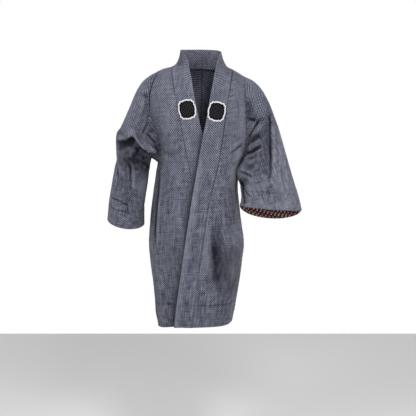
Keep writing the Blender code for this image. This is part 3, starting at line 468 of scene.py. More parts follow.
SLEEVE_CREASES = {
    (-1, "front"): (
        ("overhang", 11, 7.5, (
            (-304, -248), (-285, -248), (-268, -244), (-254, -237), (-242, -232), (-230, -240),
            (-216, -260), (-203, -277), (-190, -292), (-181, -305),
        )),
        ("hollow", 38, 7.8, (
            (-304, -252), (-285, -252), (-268, -248), (-254, -241), (-242, -237), (-230, -245),
            (-216, -265), (-203, -282), (-194, -293),
        )),
        ("hollow", 34, 5.6, ((-138, -205), (-143, -250), (-147, -295), (-149, -330))),
        ("hollow", 24, 10, ((-174, -80), (-173, -105), (-170, -135), (-164, -180), (-155, -230))),
        ("ridge", 9, 1.2, ((-262, -268), (-254, -292), (-250, -325))),
        ("trough", 6.5, 1.3, ((-262, -325), (-251, -355), (-251.5, -405), (-244, -456))),
        ("ridge", 6, 1.4, ((-240, -340), (-240, -400), (-233, -450))),
        ("ridge", 6, 1.2, ((-278, -350), (-274, -400), (-277, -450))),
        ("ridge", 8, 2.2, ((-196, -90), (-212, -150), (-236, -215))),
        ("trough", 8, 2.4, ((-184, -140), (-192, -195), (-212, -240))),
        ("trough", 7, 2.6, ((-158, -262), (-176, -250), (-200, -222))),
        ("ridge", 7, 1.8, ((-156, -290), (-176, -282), (-196, -262))),
        ("trough", 6, 1.4, ((-300, -330), (-296, -380), (-300, -440))),
        ("trough", 4.2, 3.4, ((-324, -456), (-308, -460), (-286, -467), (-256, -480))),
        ("trough", 3.6, 2, ((-262, -466), (-261, -486), (-260, -506))),
    ),
    (-1, "back"): (
        ("step", 8, 4, ((-296, -240), (-270, -262), (-240, -276), (-208, -300))),
        ("trough", 6.5, 2.4, ((-200, -330), (-232, -320), (-262, -296))),
        ("trough", 7, 1.8, ((-162, -240), (-184, -220), (-210, -190))),
        ("ridge", 6.5, 1.4, ((-250, -330), (-262, -390), (-272, -460))),
        ("ridge", 7, 1.6, ((-190, -80), (-216, -130), (-244, -190))),
    ),
    (1, "front"): (
        ("trough", 5.8, 6.6, ((203, -174), (188, -201), (170, -234), (158, -256))),
        ("trough", 8, 5, ((160, -179), (174, -182), (190, -188))),
        ("ridge", 7, 3, ((216, -185), (200, -212), (183, -240))),
        ("ridge", 7, 4.2, ((206, -248), (188, -264), (168, -282))),
        ("trough", 8.5, 5.2, ((209, -266), (188, -285), (166, -306))),
        ("ridge", 8, 2.2, ((200, -308), (182, -324), (164, -340))),
        ("step", 8, 2.2, (
            (238, -145), (246, -193.8), (247.5, -242), (246.5, -279.8), (247, -341.7), (244, -385),
        )),
        ("hollow", 20, 9, ((140, -485), (141, -455), (139, -425), (134, -395))),
        ("fading", 42, 6.2, (
            (239, -140), (244, -193.8), (245.5, -242), (244.5, -279.8), (245, -341.7), (242, -415),
        )),
        ("ridge", 22, 2.6, ((258, -170), (270, -260), (276, -370))),
        ("ridge", 8, 1.8, ((205, -372), (218, -378), (232, -381))),
        ("trough", 7, 1.8, ((272, -330), (282, -390), (294, -445))),
        ("ridge", 6, 1.4, ((284, -300), (292, -360), (306, -420))),
        ("trough", 6, 3, ((150, -428), (162, -444), (176, -456))),
        ("trough", 7, 2.6, ((144, -356), (160, -370), (180, -386))),
    ),
    (1, "back"): (
        ("step", 7.5, 3.6, ((150, -330), (180, -296), (214, -268), (250, -250))),
        ("trough", 6, 2.4, ((160, -360), (196, -340), (232, -310))),
        ("ridge", 6.5, 1.6, ((230, -330), (246, -390), (262, -450))),
        ("trough", 7, 1.8, ((162, -200), (182, -180), (206, -150))),
        ("ridge", 7, 1.6, ((190, -90), (214, -140), (238, -200))),
    ),
}

# Painted shade on the front, as in the lee of folds, and below 0 painted light: amount, width and places as
# (X, Z)
PAINTED_SHADE_AND_LIGHT = (
    (0.45, 20, ((-212, -150), (-224, -200), (-228, -226))),
    (1.1, 36, ((-240, -320), (-216, -330), (-196, -354))), (0.45, 28, ((-276, -328), (-258, -356))),
    (0.45, 18, ((-270, -385), (-266, -440), (-264, -500))), (0.3, 30, ((-208, -485), (-206, -540))),
    (-0.5, 14, ((-216, -418), (-214, -452))), (0.5, 18, ((-160, -245), (-154, -300), (-150, -330))),
    (0.35, 16, ((84, -170), (80, -240), (78, -280))), (0.4, 14, ((234, -255), (236, -300))),
    (0.8, 14, ((-222, -236), (-212, -255))), (-0.2, 22, ((-150, -70), (-138, -125))),
    (0.5, 10, ((150, -395), (152, -450))), (0.4, 9, ((238, -385), (234, -430))),
    (-0.8, 12, ((170, -478), (240, -484), (300, -482))), (0.3, 15, ((-163, -30), (-188, -58))),
    (0.4, 14, ((-152, -275), (-158, -300))), (-0.3, 14, ((-78, -60), (-82, -112))),
    (-0.85, 14, ((-178, -296), (-160, -316))), (0.15, 30, ((62, -50), (52, -120))),
    (0.35, 20, ((104, -440), (108, -530))), (-0.4, 12, ((-154, -720), (-150, -765))),
    (0.3, 12, ((254, -200), (260, -270), (262, -350))), (-0.5, 10, ((148, -120), (146, -270))),
    (-0.6, 12, ((140, -150), (136, -225))), (-1.6, 14, ((130, -300), (119, -340), (116, -385))),
    (0.85, 14, ((164, -125), (170, -170), (186, -178))), (0.8, 20, ((182, -250), (176, -290), (168, -340))),
    (-1, 20, ((176, -420), (160, -450), (150, -478))), (-0.9, 34, ((276, -385), (290, -430), (304, -470))),
    (0.5, 16, ((222, -110), (238, -155), (246, -195))),
    (-0.65, 16, ((-112, -520), (-116, -620), (-120, -690))),
    (0.62, 24, ((36, -640), (38, -670), (42, -730))), (0.8, 40, ((106, -660), (108, -700), (108, -755))),
    (0.22, 45, ((60, -830), (72, -900))), (-0.65, 13, ((-22, -730), (-24, -800), (-20, -895))),
    (0.4, 20, ((74, 30), (96, -14), (114, -26))), (0.7, 16, ((-76, 52), (-78, 16))),
)


def smooth_step(low, high, value):
    t = np.clip((value - low) / (high - low), 0.0, 1.0)
    return t * t * (3 - 2 * t)


def bell(value):
    return np.exp(-(value**2))


def between(value, heights, low, high):
    """From one strength to another as the value passes these heights."""
    return low + (high - low) * smooth_step(*heights, value)


def flatten(value, power):
    return np.copysign(np.abs(value) ** power, value)


def lengths(vectors):
    return np.linalg.norm(vectors, axis=-1)


def unit(vectors):
    return vectors / np.maximum(lengths(vectors), 1e-12)[..., None]


def stack(x, y, z):
    return np.stack(np.broadcast_arrays(x, y, z), axis=-1)


def turned(x, y, angle):
    return x * np.cos(angle) - y * np.sin(angle), x * np.sin(angle) + y * np.cos(angle)


def run_along(line):
    """The distance along a line to each of its points."""
    return np.concatenate([[0.0], np.cumsum(lengths(np.diff(line, axis=0)))])


def places_on(line, run, at):
    return np.stack([np.interp(at, run, column) for column in line.T], axis=-1)


def body_fold(side, angle, height):
    """How far the cloth stands out at these places because of the body's folds."""
    around = np.degrees(angle) if side > 0 else 180.0 - np.degrees(angle)
    total = np.zeros(np.broadcast(angle, height).shape)
    for row in BODY_FOLDS:
        fold = by_name(BODY_FOLD_COLUMNS, row)
        apart = (around - fold["angle"] + 180.0) % 360.0 - 180.0
        across = np.cos(np.radians(90.0 * apart / fold["spread"])) ** 2 * (np.abs(apart) < fold["spread"])
        total += fold["depth"] * across * smooth_step(fold["top"], fold["bottom"], height)
    return total


def body_point(side, height, rounding, angle, front):
    """Points of the body's surface. Rounding is 0 on the shoulder line and 1 where the chest is fully out."""
    power = 2.0 / SQUARENESS
    across, forward = flatten(np.cos(angle), power), flatten(np.sin(angle), power)
    half_width = BODY.at(height, "half_width")
    depth = np.where(forward > 0, BODY.at(height, "front_depth"), BODY.at(height, "back_depth"))
    x = BODY.at(height, "centre_x") + side * half_width * across
    out = unit(stack(side * np.cos(angle) / half_width, -np.sin(angle) / depth, 0.0))
    lift = body_fold(side, angle, height)
    if side > 0:
        lift = lift + front * LAP * smooth_step(*LAP_BELOW, height) * smooth_step(*LAP_INSIDE, x)
    return stack(x, -depth * forward * rounding, height) + out * (lift * rounding)[..., None]


def angle_at(side, height, x, front):
    """The angle round the body's section where its surface has this X."""
    across = side * (x - BODY.at(height, "centre_x")) / BODY.at(height, "half_width")
    angle = np.arccos(flatten(np.clip(across, -1.0, 1.0), SQUARENESS / 2.0))
    return np.where(front, angle, -angle)


def x_round(side, height, angle):
    across = flatten(np.cos(angle), 2.0 / SQUARENESS)
    return BODY.at(height, "centre_x") + side * BODY.at(height, "half_width") * across


class Lines:
    """Lines across a body half, from the front hem over the shoulder to the back hem.

    They are level on the skirt and follow the shoulder's slope higher up.
    """

    def __init__(self):
        def steps(start, end, length):
            return np.linspace(start, end, 1 + round(length / FINE))

        skirt = steps(HEM_Z, ARMPIT_Z, ARMPIT_Z - HEM_Z)
        chest = steps(0.0, 1.0, CHEST_LENGTH)[1:]
        over = steps(math.pi / 2, 0.0, SHOULDER_ROUND * math.pi / 2)[1:]
        round_neck = np.sin(steps(0.0, math.pi / 2, NECK_HALF_ROUND)[1:])
        behind_neck = np.arcsin(round_neck * math.sin(NAPE_ANGLE))
        low_back = np.linspace(NAPE_ANGLE, math.pi / 2, LOW_BACK_LINES)[1:]
        front = [(SKIRT, z) for z in skirt] + [(CHEST, share) for share in chest]
        front += [(SHOULDER_ZONE, turn) for turn in over]
        back = [(SHOULDER_ZONE, turn) for turn in np.concatenate([behind_neck, low_back])]
        back += [(CHEST, share) for share in chest[-2::-1]] + [(SKIRT, z) for z in skirt[::-1]]
        self.zone, self.value = (np.array(column)[:, None] for column in zip(*(front + back)))
        self.count = len(front + back)
        self.front = np.arange(self.count)[:, None] < len(front)
        self.armpit_front = len(skirt) - 1
        self.armpit_back = self.count - len(skirt)
        self.nape = len(front) - 1 + len(behind_neck)
        self.rounding = np.where(self.zone == SHOULDER_ZONE, np.sin(self.value), 1.0)

    def height(self, side, x):
        ridge = SHOULDER[side].at(np.maximum(side * x, 0.0), "height")
        chest = ARMPIT_Z + (ridge - SHOULDER_ROUND - ARMPIT_Z) * self.value
        over = ridge - SHOULDER_ROUND * (1.0 - np.cos(self.value))
        return np.where(self.zone == SKIRT, self.value, np.where(self.zone == CHEST, chest, over))

    def settle(self, side, x_at_height, columns=1):
        """The heights where these lines meet an edge whose X depends on the height."""
        x = np.full((self.count, columns), side * NECK_SEAM_X)
        for _ in range(SETTLING_TURNS):
            height = self.height(side, x)
            x = x_at_height(height)
        return height

    def inner_x(self, side, height):
        share = np.clip(np.sin(self.value) / math.sin(NAPE_ANGLE), 0.0, 1.0)
        behind_neck = side * NECK_SEAM_X * np.sqrt(1.0 - share * share)
        by_neck = (self.zone == SHOULDER_ZONE) & (self.value < NAPE_ANGLE)
        back = np.where(by_neck, behind_neck, CENTRE_BACK.at(height, "x"))
        return np.where(self.front, FRONT_EDGES[side].at(height, "seam_x"), back)

    def outer_angle(self, side, height):
        edge = SIDE_EDGES[side]
        return np.radians(np.where(self.front, edge.at(height, "front_angle"), edge.at(height, "back_angle")))

    def panel(self, side, shares):
        """A body half's points, from its inner edge to its outer one on each line."""
        height = self.settle(side, lambda height: self.inner_x(side, height))
        inner = angle_at(side, height, self.inner_x(side, height), self.front)
        height = self.settle(side, lambda height: x_round(side, height, self.outer_angle(side, height)))
        angles = inner + (self.outer_angle(side, height) - inner) * shares[None, :]
        height = self.settle(side, lambda height: x_round(side, height, angles), len(shares))
        return body_point(side, height, self.rounding, angles, self.front)


LINES = Lines()


def collar_half(side, seam, shares):
    """Points across the collar band from the front hem to the nape, from its sewn edge to its free edge."""
    count = LINES.nape + 1
    height = seam[:, 2:3]
    start = angle_at(side, height, FRONT_EDGES[side].at(height, "seam_x"), True)
    end = angle_at(side, height, FRONT_EDGES[side].at(height, "free_x"), True)
    flat = body_point(side, height, 1.0, start + (end - start) * shares[None, :], True)
    turn = np.degrees(LINES.value[:count, 0]) * np.where(LINES.front[:count, 0], -1, 1)
    turn = np.where(LINES.zone[:count, 0] == SHOULDER_ZONE, turn, BAND_STANDS[0])
    edge = NECK_EDGE[side]
    free = stack(side * edge.at(turn, "out"), edge.at(turn, "y"), edge.at(turn, "z"))[:, None]
    sink = np.array((-side * BAND_LEAN, 0.0, -1.0)) * edge.at(turn, "hollow")[:, None, None]
    share = shares[None, :, None]
    start_at = seam[:, None]
    round_neck = start_at + (free - start_at) * share + sink * 4 * share * (1 - share)
    return flat + (round_neck - flat) * smooth_step(*BAND_STANDS, turn)[:, None, None]


def laid_flat(along, turn):
    return stack(along * SLEEVE_LENGTH, turn / 360.0 * SLEEVE_GIRTH, 0.0)


def fold_on_sleeve(side, along, turn):
    """How far a sleeve's cloth stands out at these places because of its folds."""
    here = laid_flat(along, turn)
    total = np.zeros(here.shape[:-1])
    for row in SLEEVE_FOLDS[side]:
        fold = by_name(SLEEVE_FOLD_COLUMNS, row)
        start = laid_flat(fold["from_along"], fold["from_turn"])
        run = laid_flat(fold["to_along"], fold["to_turn"]) - start
        share = (here - start) @ run / (run @ run)
        off = lengths(here - start - run * np.clip(share, 0.0, 1.0)[..., None])
        comes_in = smooth_step(-FOLD_RUNS_PAST, FOLD_FADES_OVER, share)
        goes_out = smooth_step(1.0 + FOLD_RUNS_PAST, 1.0 - FOLD_FADES_OVER, share)
        total += fold["depth"] * bell(off / fold["width"]) * comes_in * goes_out
    return total * smooth_step(0.0, FOLD_FADES_OVER, along)


def sleeve_turns(hole):
    """Each armhole point's turn in degrees, from the underarm point by the front (90) over the top (180)."""
    top = int(np.argmax(hole[:, 2]))
    run = run_along(np.concatenate([hole, hole[:1]]))
    front, back = run[top], run[-1] - run[top]
    before, after = 180.0 * run[:top] / front, 180.0 + 180.0 * (run[top:-1] - run[top]) / back
    return np.concatenate([before, after]), run[-1]


def sleeve_section(side, along, turn):
    at = {name: SLEEVE[side].at(along, name) for name in SLEEVE_COLUMNS[1:]}
    cosine, sine = np.cos(np.radians(turn)), np.sin(np.radians(turn))
    x = (at["inner_x"] + at["outer_x"]) / 2 - (at["outer_x"] - at["inner_x"]) / 2 * cosine
    z = (at["inner_z"] + at["outer_z"]) / 2 - (at["outer_z"] - at["inner_z"]) / 2 * cosine
    depth = np.where(sine > 0, at["front_depth"], at["back_depth"])
    lift = np.where(sine > 0, at["front_lift"], at["back_lift"])
    return stack(side * x, at["centre_y"] - depth * sine, z + lift * np.abs(sine))


def sleeve_tube(side, hole, along, turn):
    """Rings of points from the armhole to the cuff."""
    along, turn = along[:, None], turn[None, :]
    place = sleeve_section(side, along, turn)
    centre = (sleeve_section(side, along, 0.0 * turn) + sleeve_section(side, along, 180.0 + 0.0 * turn)) / 2
    fade = np.maximum(1.0 - along / SLEEVE_BLEND, 0.0) ** 2
    fold = fold_on_sleeve(side, along, turn)
    armhole_shape = hole[None] - sleeve_section(side, 0.0 * along[:1], turn)
    return place + armhole_shape * fade[..., None] + unit(place - centre) * fold[..., None]


def spaced(width, close_at, coarse=FINE):
    """Shares of a width from 0 to 1, closer together near some places on it."""
    places = [0.0]
    while places[-1] < width:
        away = min(abs(places[-1] - place) for place in close_at)
        places.append(places[-1] + min(coarse, NARROW + away * WIDENS))
    return np.array(places) / places[-1]


def grid_normals(points, closed):
    """Unit normals of a grid of points. A closed one joins each row's ends."""
    down = np.gradient(points, axis=0)
    if closed:
        across = np.roll(points, -1, axis=1) - np.roll(points, 1, axis=1)
    else:
        across = np.gradient(points, axis=1)
    return unit(np.cross(down, across))


def outward_normals(points, closed, centre):
    normals = grid_normals(points, closed)
    return normals * np.sign(np.mean(np.sum(normals * unit(points - centre), axis=-1)))


def waves(points, seed, height, longest, shortest, stretch):
    """Soft uneven waves, about this high, through these places."""
    chance = np.random.default_rng(seed)
    total = np.zeros(points.shape[:-1])
    for _ in range(WAVE_COUNT):
        direction = unit(chance.normal(size=3)) / np.array(stretch)
        share = (shortest / longest) ** chance.uniform()
        phase = points @ direction * 2 * math.pi / (longest * share)
        total += share * np.sin(phase + chance.uniform(0, 2 * math.pi))
    return height * total / math.sqrt(WAVE_COUNT / 2) * WAVE_SHARE


def through(path, count):
    """A smooth line through these places, as (X, Z)."""
    path = np.array(path, float)
    table = Table(("run", "x", "z"), np.column_stack([run_along(path), path]))
    along = np.linspace(0.0, table.keys[-1], count)
    return np.stack([table.at(along, "x"), table.at(along, "z")], axis=-1)


def crease_shift(points, normals, creases, view, seed):
    """How far the creases move the cloth out at each point, and how far they slide it along."""
    chance = np.random.default_rng(seed)
    facing = -1.0 if view == "front" else 1.0
    spots, ups = points.reshape(-1, 3), normals.reshape(-1, 3)
    seen = np.flatnonzero(ups[:, 1] * facing > SEEN_FROM)
    lift, slide, deep = np.zeros(len(spots)), np.zeros(spots.shape), np.zeros(len(spots))
    for kind, width, depth, path in creases:
        width, depth = width / 1000.0, depth / 1000.0
        line = through(path, 60)
        off = lengths(spots[seen][None, :, [0, 2]] - line[:, None, :])
        nearest = seen[np.argmin(off, axis=1)]
        middle = stack(line[:, 0], spots[nearest, 1], line[:, 1])
        right = unit(np.cross(unit(np.gradient(middle, axis=0)), ups[nearest]))
        reach = CREASE_REACH * width
        low, high = middle.min(axis=0) - reach, middle.max(axis=0) + reach
        near = np.flatnonzero(np.all((spots > low) & (spots < high), axis=1))
        if not len(near):
            continue
        apart = spots[near][:, None] - middle[None]
        at = np.argmin(lengths(apart), axis=1)
        gap = apart[np.arange(len(near)), at]
        across = np.sum(gap * right[at], axis=1) / width
        off = lengths(gap) / width
        share = at / (len(line) - 1)
        taper = TAPERS.get(kind, USUAL_TAPER)
        fade = smooth_step(0.0, taper, share) * smooth_step(1.0, 1.0 - taper, share)
        wobble = share * chance.uniform(*CREASE_WAVES) + chance.uniform(0.0, 6.0)
        fade = depth * fade * (1.0 + CREASE_UNEVEN * np.sin(wobble))
        if kind == "ridge":
            shape = bell(off)
        elif kind == "trough":
            shape = -bell(off) * (1.0 - TROUGH_RIMS * off**2)
        elif kind == "step":
            shape = -STEP_SLOPE * across * bell(off)
        elif kind == "overhang":
            shape = bell(off / OVERHANG_REACH) * smooth_step(*OVERHANG_LIP, across)
        else:
            shape = -bell(off) * smooth_step(*HOLLOW_LIP, across)
            # painted shade under the hollow's upper edge
            under = smooth_step(*HOLLOW_SHADE_FROM, across) * bell(across / HOLLOW_SHADE_REACH)
            deep[near] = np.maximum(deep[near], under * fade / HOLLOW_SHADE_DEPTH)
        lift[near] += shape * fade
        if kind in ("step", "overhang"):
            slide[near] += right[at] * (STEP_SLIDES * bell(off) * fade)[:, None]
    shape = points.shape[:-1]
    return lift.reshape(shape), slide.reshape(points.shape), deep.reshape(shape)


def quads(rows, columns, offset, closed, reverse):
    """Corner indices of a grid's faces, as (vertex, place in the grid of flat places)."""
    across = columns if closed else columns - 1
    r, c = np.meshgrid(np.arange(rows - 1), np.arange(across), indexing="ij")
    corners = [(r, c), (r, c + 1), (r + 1, c + 1), (r + 1, c)]
    if reverse:
        corners.reverse()
    verts = np.stack([offset + row * columns + col % columns for row, col in corners], axis=-1)
    spots = np.stack([row * (across + 1) + col for row, col in corners], axis=-1)
    return verts.reshape(-1, 4), spots.reshape(-1, 4)


def shell(name, points, flat, outer, inner, material, centre, marks, closed=False, filled=False):
    """A cloth piece: two skins on either side of a grid of points, joined round the rim by a soft edge.

    Closed joins each row's ends, and filled also closes the first row with a point in its middle.
    """
    rows, columns = points.shape[:2]
    normals = outward_normals(points, closed, centre)
    outer, inner = np.broadcast_to(outer, (rows, columns)), np.broadcast_to(inner, (rows, columns))
    size = rows * columns
    wide = columns + 1 if closed else columns
    skins = [points + normals * outer[..., None], points - normals * inner[..., None]]
    verts = [skin.reshape(-1, 3) for skin in skins]
    source = [np.arange(size), np.arange(size)]
    flip = np.sum(grid_normals(points, closed) * normals) < 0
    faces = [quads(rows, columns, 0, closed, flip), quads(rows, columns, size, closed, not flip)]
    if closed:
        ends = (rows - 1,) if filled else (0, rows - 1)
        loops = [[(row, c) for c in range(columns + 1)] for row in ends]
    else:
        loop = [(0, c) for c in range(columns)] + [(r, columns - 1) for r in range(1, rows)]
        loop += [(rows - 1, c) for c in range(columns - 2, -1, -1)]
        loops = [loop + [(r, 0) for r in range(rows - 2, -1, -1)]]
    start = 2 * size
    for loop in loops:
        r, c = np.array(loop).T
        spot = c % columns
        inside_c = spot if closed else np.clip(c, 1, columns - 2)
        up, here = normals[r, spot], r * columns + spot
        middle = points[r, spot] + up * ((outer - inner)[r, spot] / 2)[:, None]
        half = ((outer + inner)[r, spot] / 2)[:, None]
        out = points[r, spot] - points[np.clip(r, 1, rows - 2), inside_c]
        out = unit(out - up * np.sum(out * up, axis=1)[:, None])
        rings = [here]
        for turn in RIM_TURNS:
            ring = middle + up * half * math.cos(turn) + out * half * math.sin(turn)
            verts.append(ring[:-1])
            source.append(here[:-1])
            ids = start + np.arange(len(ring) - 1)
            rings.append(np.concatenate([ids, ids[:1]]))
            start += len(ids)
        rings.append(size + here)
        places = r * wide + c
        spots = np.stack([places[:-1], places[:-1], places[1:], places[1:]], axis=-1)
        for one, two in zip(rings, rings[1:]):
            faces.append((np.stack([one[:-1], two[:-1], two[1:], one[1:]], axis=-1), spots))
    corner_ids = [ids for ids, _ in faces]
    corner_spots = [spots.reshape(-1) for _, spots in faces]
    flat = flat.reshape(-1, 2)
    if filled:
        flat = np.concatenate([flat, flat[:columns].mean(axis=0, keepdims=True)])
        c = np.arange(columns)
        for first, skin in zip((0, size), skins):
            verts.append(skin[0].mean(axis=0, keepdims=True))
            source.append(np.zeros(1, int))
            corner_ids.append(np.stack([first + c, first + (c + 1) % columns, 0 * c + start], axis=-1))
            corner_spots.append(np.stack([c, c + 1, 0 * c + len(flat) - 1], axis=-1).reshape(-1))
            start += 1
    data = bpy.data.meshes.new(name)
    corners = [face for ids in corner_ids for face in ids.tolist()]
    data.from_pydata(np.concatenate(verts).tolist(), [], corners)
    layer = data.uv_layers.new(name="flat")
    layer.data.foreach_set("uv", flat[np.concatenate(corner_spots)].reshape(-1).astype(np.float32))
    source = np.concatenate(source)
    for mark, values in marks.items():
        attribute = data.attributes.new(mark, "FLOAT", "POINT")
        attribute.data.foreach_set("value", values.reshape(-1)[source].astype(np.float32))
    return finish_mesh(name, data, material)


def finish_mesh(name, data, material):
    mesh = bmesh.new()
    mesh.from_mesh(data)
    bmesh.ops.recalc_face_normals(mesh, faces=mesh.faces)
    mesh.to_mesh(data)
    mesh.free()
    data.shade_smooth()
    data.materials.append(material)
    return placed(name, data)


def placed(name, data):
    piece = bpy.data.objects.new(name, data)
    bpy.context.scene.collection.objects.link(piece)
    return piece


class Graph:
    """The shader nodes of a material or a world, put together as expressions."""

    def __init__(self, owner, shader="Principled BSDF"):
        owner.use_nodes = True
        self.owner, self.tree = owner, owner.node_tree
        self.shader = self.tree.nodes[shader]

    def node(self, kind, inputs, **settings):
        node = self.tree.nodes.new(kind)
        for key, value in settings.items():
            setattr(node, key, value)
        for key, value in inputs.items():
            self.feed(node.inputs[key], value)
        return node

    def feed(self, socket, value):
        if isinstance(value, bpy.types.NodeSocket):
            self.tree.links.new(value, socket)
        else:
            socket.default_value = value

    def set(self, **values):
        for name, value in values.items():
            self.feed(self.shader.inputs[name.replace("_", " ")], value)

    def math(self, operation, a, b=0.0, c=0.0, clamp=False):
        inputs = {0: a, 1: b, 2: c}
        return self.node("ShaderNodeMath", inputs, operation=operation, use_clamp=clamp).outputs[0]

    def ramp(self, value, low, high, to_low=0.0, to_high=1.0, kind="SMOOTHSTEP"):
        inputs = {"Value": value, "From Min": low, "From Max": high, "To Min": to_low, "To Max": to_high}
        return self.node("ShaderNodeMapRange", inputs, interpolation_type=kind).outputs["Result"]

    def mix(self, share, a, b):
        inputs = {"Factor": share, 6: a, 7: b}
        return self.node("ShaderNodeMix", inputs, data_type="RGBA", clamp_factor=True).outputs[2]

    def parts(self, vector):
        return self.node("ShaderNodeSeparateXYZ", {0: vector}).outputs

    def flat_place(self):
        """Where this is on the cloth before sewing, in metres."""
        uv = self.node("ShaderNodeUVMap", {}, uv_map="flat").outputs["UV"]
        parts = self.parts(uv)
        return uv, parts["X"], parts["Y"]

    def noise(self, uv, grain, detail=2.0):
        place = self.node("ShaderNodeVectorMath", {0: uv, 1: (*grain, 1.0)}, operation="MULTIPLY").outputs[0]
        inputs = {"Vector": place, "Scale": 1.0, "Detail": detail}
        return self.node("ShaderNodeTexNoise", inputs).outputs["Fac"]

    def both_ways(self, uv, grain, detail):
        """Noise along the threads of both directions, about 0."""
        across, along = self.noise(uv, grain, detail), self.noise(uv, grain[::-1], detail)
        return self.math("SUBTRACT", self.math("ADD", across, along), 1.0)

    def mark(self, name):
        return self.node("ShaderNodeAttribute", {}, attribute_name=name).outputs["Fac"]

    def times(self, a, b, clamp=False):
        return self.math("MULTIPLY", a, b, clamp=clamp)

    def away(self, value):
        return self.math("ABSOLUTE", value)

    def repeated(self, place, period):
        """The distance from the middle of each repeat."""
        return self.math("SUBTRACT", self.math("WRAP", place, period, 0.0), period / 2)

    def stripe(self, place, period):
        """1 in the light stripes and 0 in the dark ones."""
        away = self.math("PINGPONG", place, period / 2)
        return self.ramp(away, period / 4 + STRIPE_EDGE, period / 4 - STRIPE_EDGE)

    def check(self, u, v, sway):
        """A small check of light and dark threads, part of it staggered like a chessboard."""
        across, along = (self.stripe(self.math("ADD", place, sway), CHECK) for place in (u, v))
        both = self.times(self.math("ADD", across, along), 0.5)
        unlike = self.away(self.math("SUBTRACT", across, along))
        return self.math("MULTIPLY_ADD", self.math("SUBTRACT", unlike, both), CHECKER_SHARE, both)

    def weave(self, u, v, thread):
        """The height of plain-woven threads, from 0 to 1."""
        rows, columns = (self.math("SINE", self.times(place, math.pi / thread)) for place in (v, u))
        return self.math("MULTIPLY_ADD", self.times(rows, columns), 0.5, 0.5)

    def tinted(self, colour, mark, share, tint):
        return self.mix(self.times(self.mark(mark), share, clamp=True), colour, tint)

    def finish(self, colour, height, roughness, bump=0.3, depth=0.0002, specular=0.25, sheen=0.08):
        inputs = {"Height": height, "Strength": bump, "Distance": depth}
        normal = self.node("ShaderNodeBump", inputs).outputs["Normal"]
        self.set(Base_Color=colour, Normal=normal, Roughness=roughness)
        self.set(Specular_IOR_Level=specular, Sheen_Weight=sheen, Sheen_Roughness=0.6)
        return self.owner


def check_cotton():
    graph = Graph(bpy.data.materials.new("check_cotton"))
    uv, u, v = graph.flat_place()
    sway = graph.math("MULTIPLY_ADD", graph.noise(uv, SWAY_GRAIN), SWAY, -SWAY / 2)
    light = graph.math("SUBTRACT", graph.check(u, v, sway), 0.5)
    crisp = graph.mark("crisp")
    contrast = graph.math("MULTIPLY_ADD", crisp, CRISP_CONTRAST, CHECK_CONTRAST)
    mean = graph.math("MULTIPLY_ADD", crisp, CRISP_DARKER, CHECK_WHITE)
    light = graph.math("MULTIPLY_ADD", light, contrast, mean)
    uneven = graph.both_ways(uv, THREAD_GRAIN, 2.0)
    streaks, cross_streaks = (graph.noise(uv, grain, 1.0) for grain in (STREAK_GRAIN, CROSS_STREAK_GRAIN))
    streaks = graph.math("MULTIPLY_ADD", cross_streaks, CROSS_STREAKS, streaks)
    streaks = graph.math("SUBTRACT", streaks, (1.0 + CROSS_STREAKS) / 2)
    blots = graph.math("SUBTRACT", graph.noise(uv, BLOT_GRAIN, 1.0), 0.5)
    light = graph.math("MULTIPLY_ADD", uneven, THREADS, light)
    light = graph.math("MULTIPLY_ADD", graph.both_ways(uv, SLUB_GRAIN, 1.0), SLUBS, light)
    light = graph.math("MULTIPLY_ADD", streaks, STREAKS, light)
    light = graph.math("MULTIPLY_ADD", blots, BLOTS, light, clamp=True)
    colour = graph.mix(light, INDIGO, WHITE_YARN)
    patchy = graph.ramp(graph.noise(uv, PATCHY_GRAIN, 3.0), *PATCHY_FROM, 0.0, PATCHY)
    colour = graph.mix(patchy, colour, PATCHY_COLOUR)
    colour = graph.tinted(colour, "shade", SHADE_SHARE, SHADE_COLOUR)
    # painted highlight on ridges and edges with some wear, and painted light where the tones are below 0
    colour = graph.tinted(colour, "highlight_and_wear", HIGHLIGHT_AND_WEAR_SHARE, HIGHLIGHT_AND_WEAR_COLOUR)
    height = graph.math("MULTIPLY_ADD", uneven, THREADS_RISE, graph.weave(u, v, CHECK_THREAD))
    return graph.finish(colour, height, COTTON_ROUGHNESS)


def maroon_cotton():
    """Rows of small five-lobed flowers with short leaning strokes between them."""
    graph = Graph(bpy.data.materials.new("maroon_cotton"))
    uv, u, v = graph.flat_place()
    row = graph.math("FLOOR", graph.math("DIVIDE", v, MOTIF_ROW))
    shift = graph.times(graph.math("MODULO", row, 2.0), MOTIF_STEP / 2)
    x, y = graph.repeated(graph.math("ADD", u, shift), MOTIF_STEP), graph.repeated(v, MOTIF_ROW)
    away = graph.math("SQRT", graph.math("ADD", graph.times(x, x), graph.times(y, y)))
    turn = graph.math("ARCTAN2", y, x)
    lobes = graph.math("COSINE", graph.times(turn, PETALS))
    size = graph.math("MULTIPLY_ADD", lobes, PETAL_DEPTH, FLOWER)
    flower = graph.ramp(graph.math("SUBTRACT", away, size), FLOWER_EDGE, -FLOWER_EDGE)
    eye = graph.ramp(away, *EYE)
    lines = graph.ramp(graph.math("COSINE", graph.times(turn, 2 * PETALS)), *VEIN_FROM, 1.0, 0.0)
    lines = graph.times(lines, graph.ramp(away, *VEIN_UNTIL))
    flower = graph.math("SUBTRACT", flower, graph.math("MAXIMUM", eye, lines), clamp=True)
    side = graph.math("SUBTRACT", graph.away(x), MOTIF_STEP / 2 - STROKE_OFF)
    stroke = graph.ramp(graph.away(graph.math("MULTIPLY_ADD", y, STROKE_LEAN, side)), *STROKE_WIDE)
    stroke = graph.times(stroke, graph.ramp(graph.away(y), *STROKE_LONG))
    wear = graph.noise(uv, PRINT_GRAIN)
    pale = graph.times(graph.math("MAXIMUM", flower, stroke), graph.ramp(wear, *PRINT_WORN))
    colour = graph.mix(pale, graph.mix(wear, MAROON_DARK, MAROON_LIGHT), MOTIF_COLOUR)
    height = graph.math("ADD", graph.weave(u, v, MAROON_THREAD), wear)
    return graph.finish(colour, height, PRINT_ROUGHNESS)


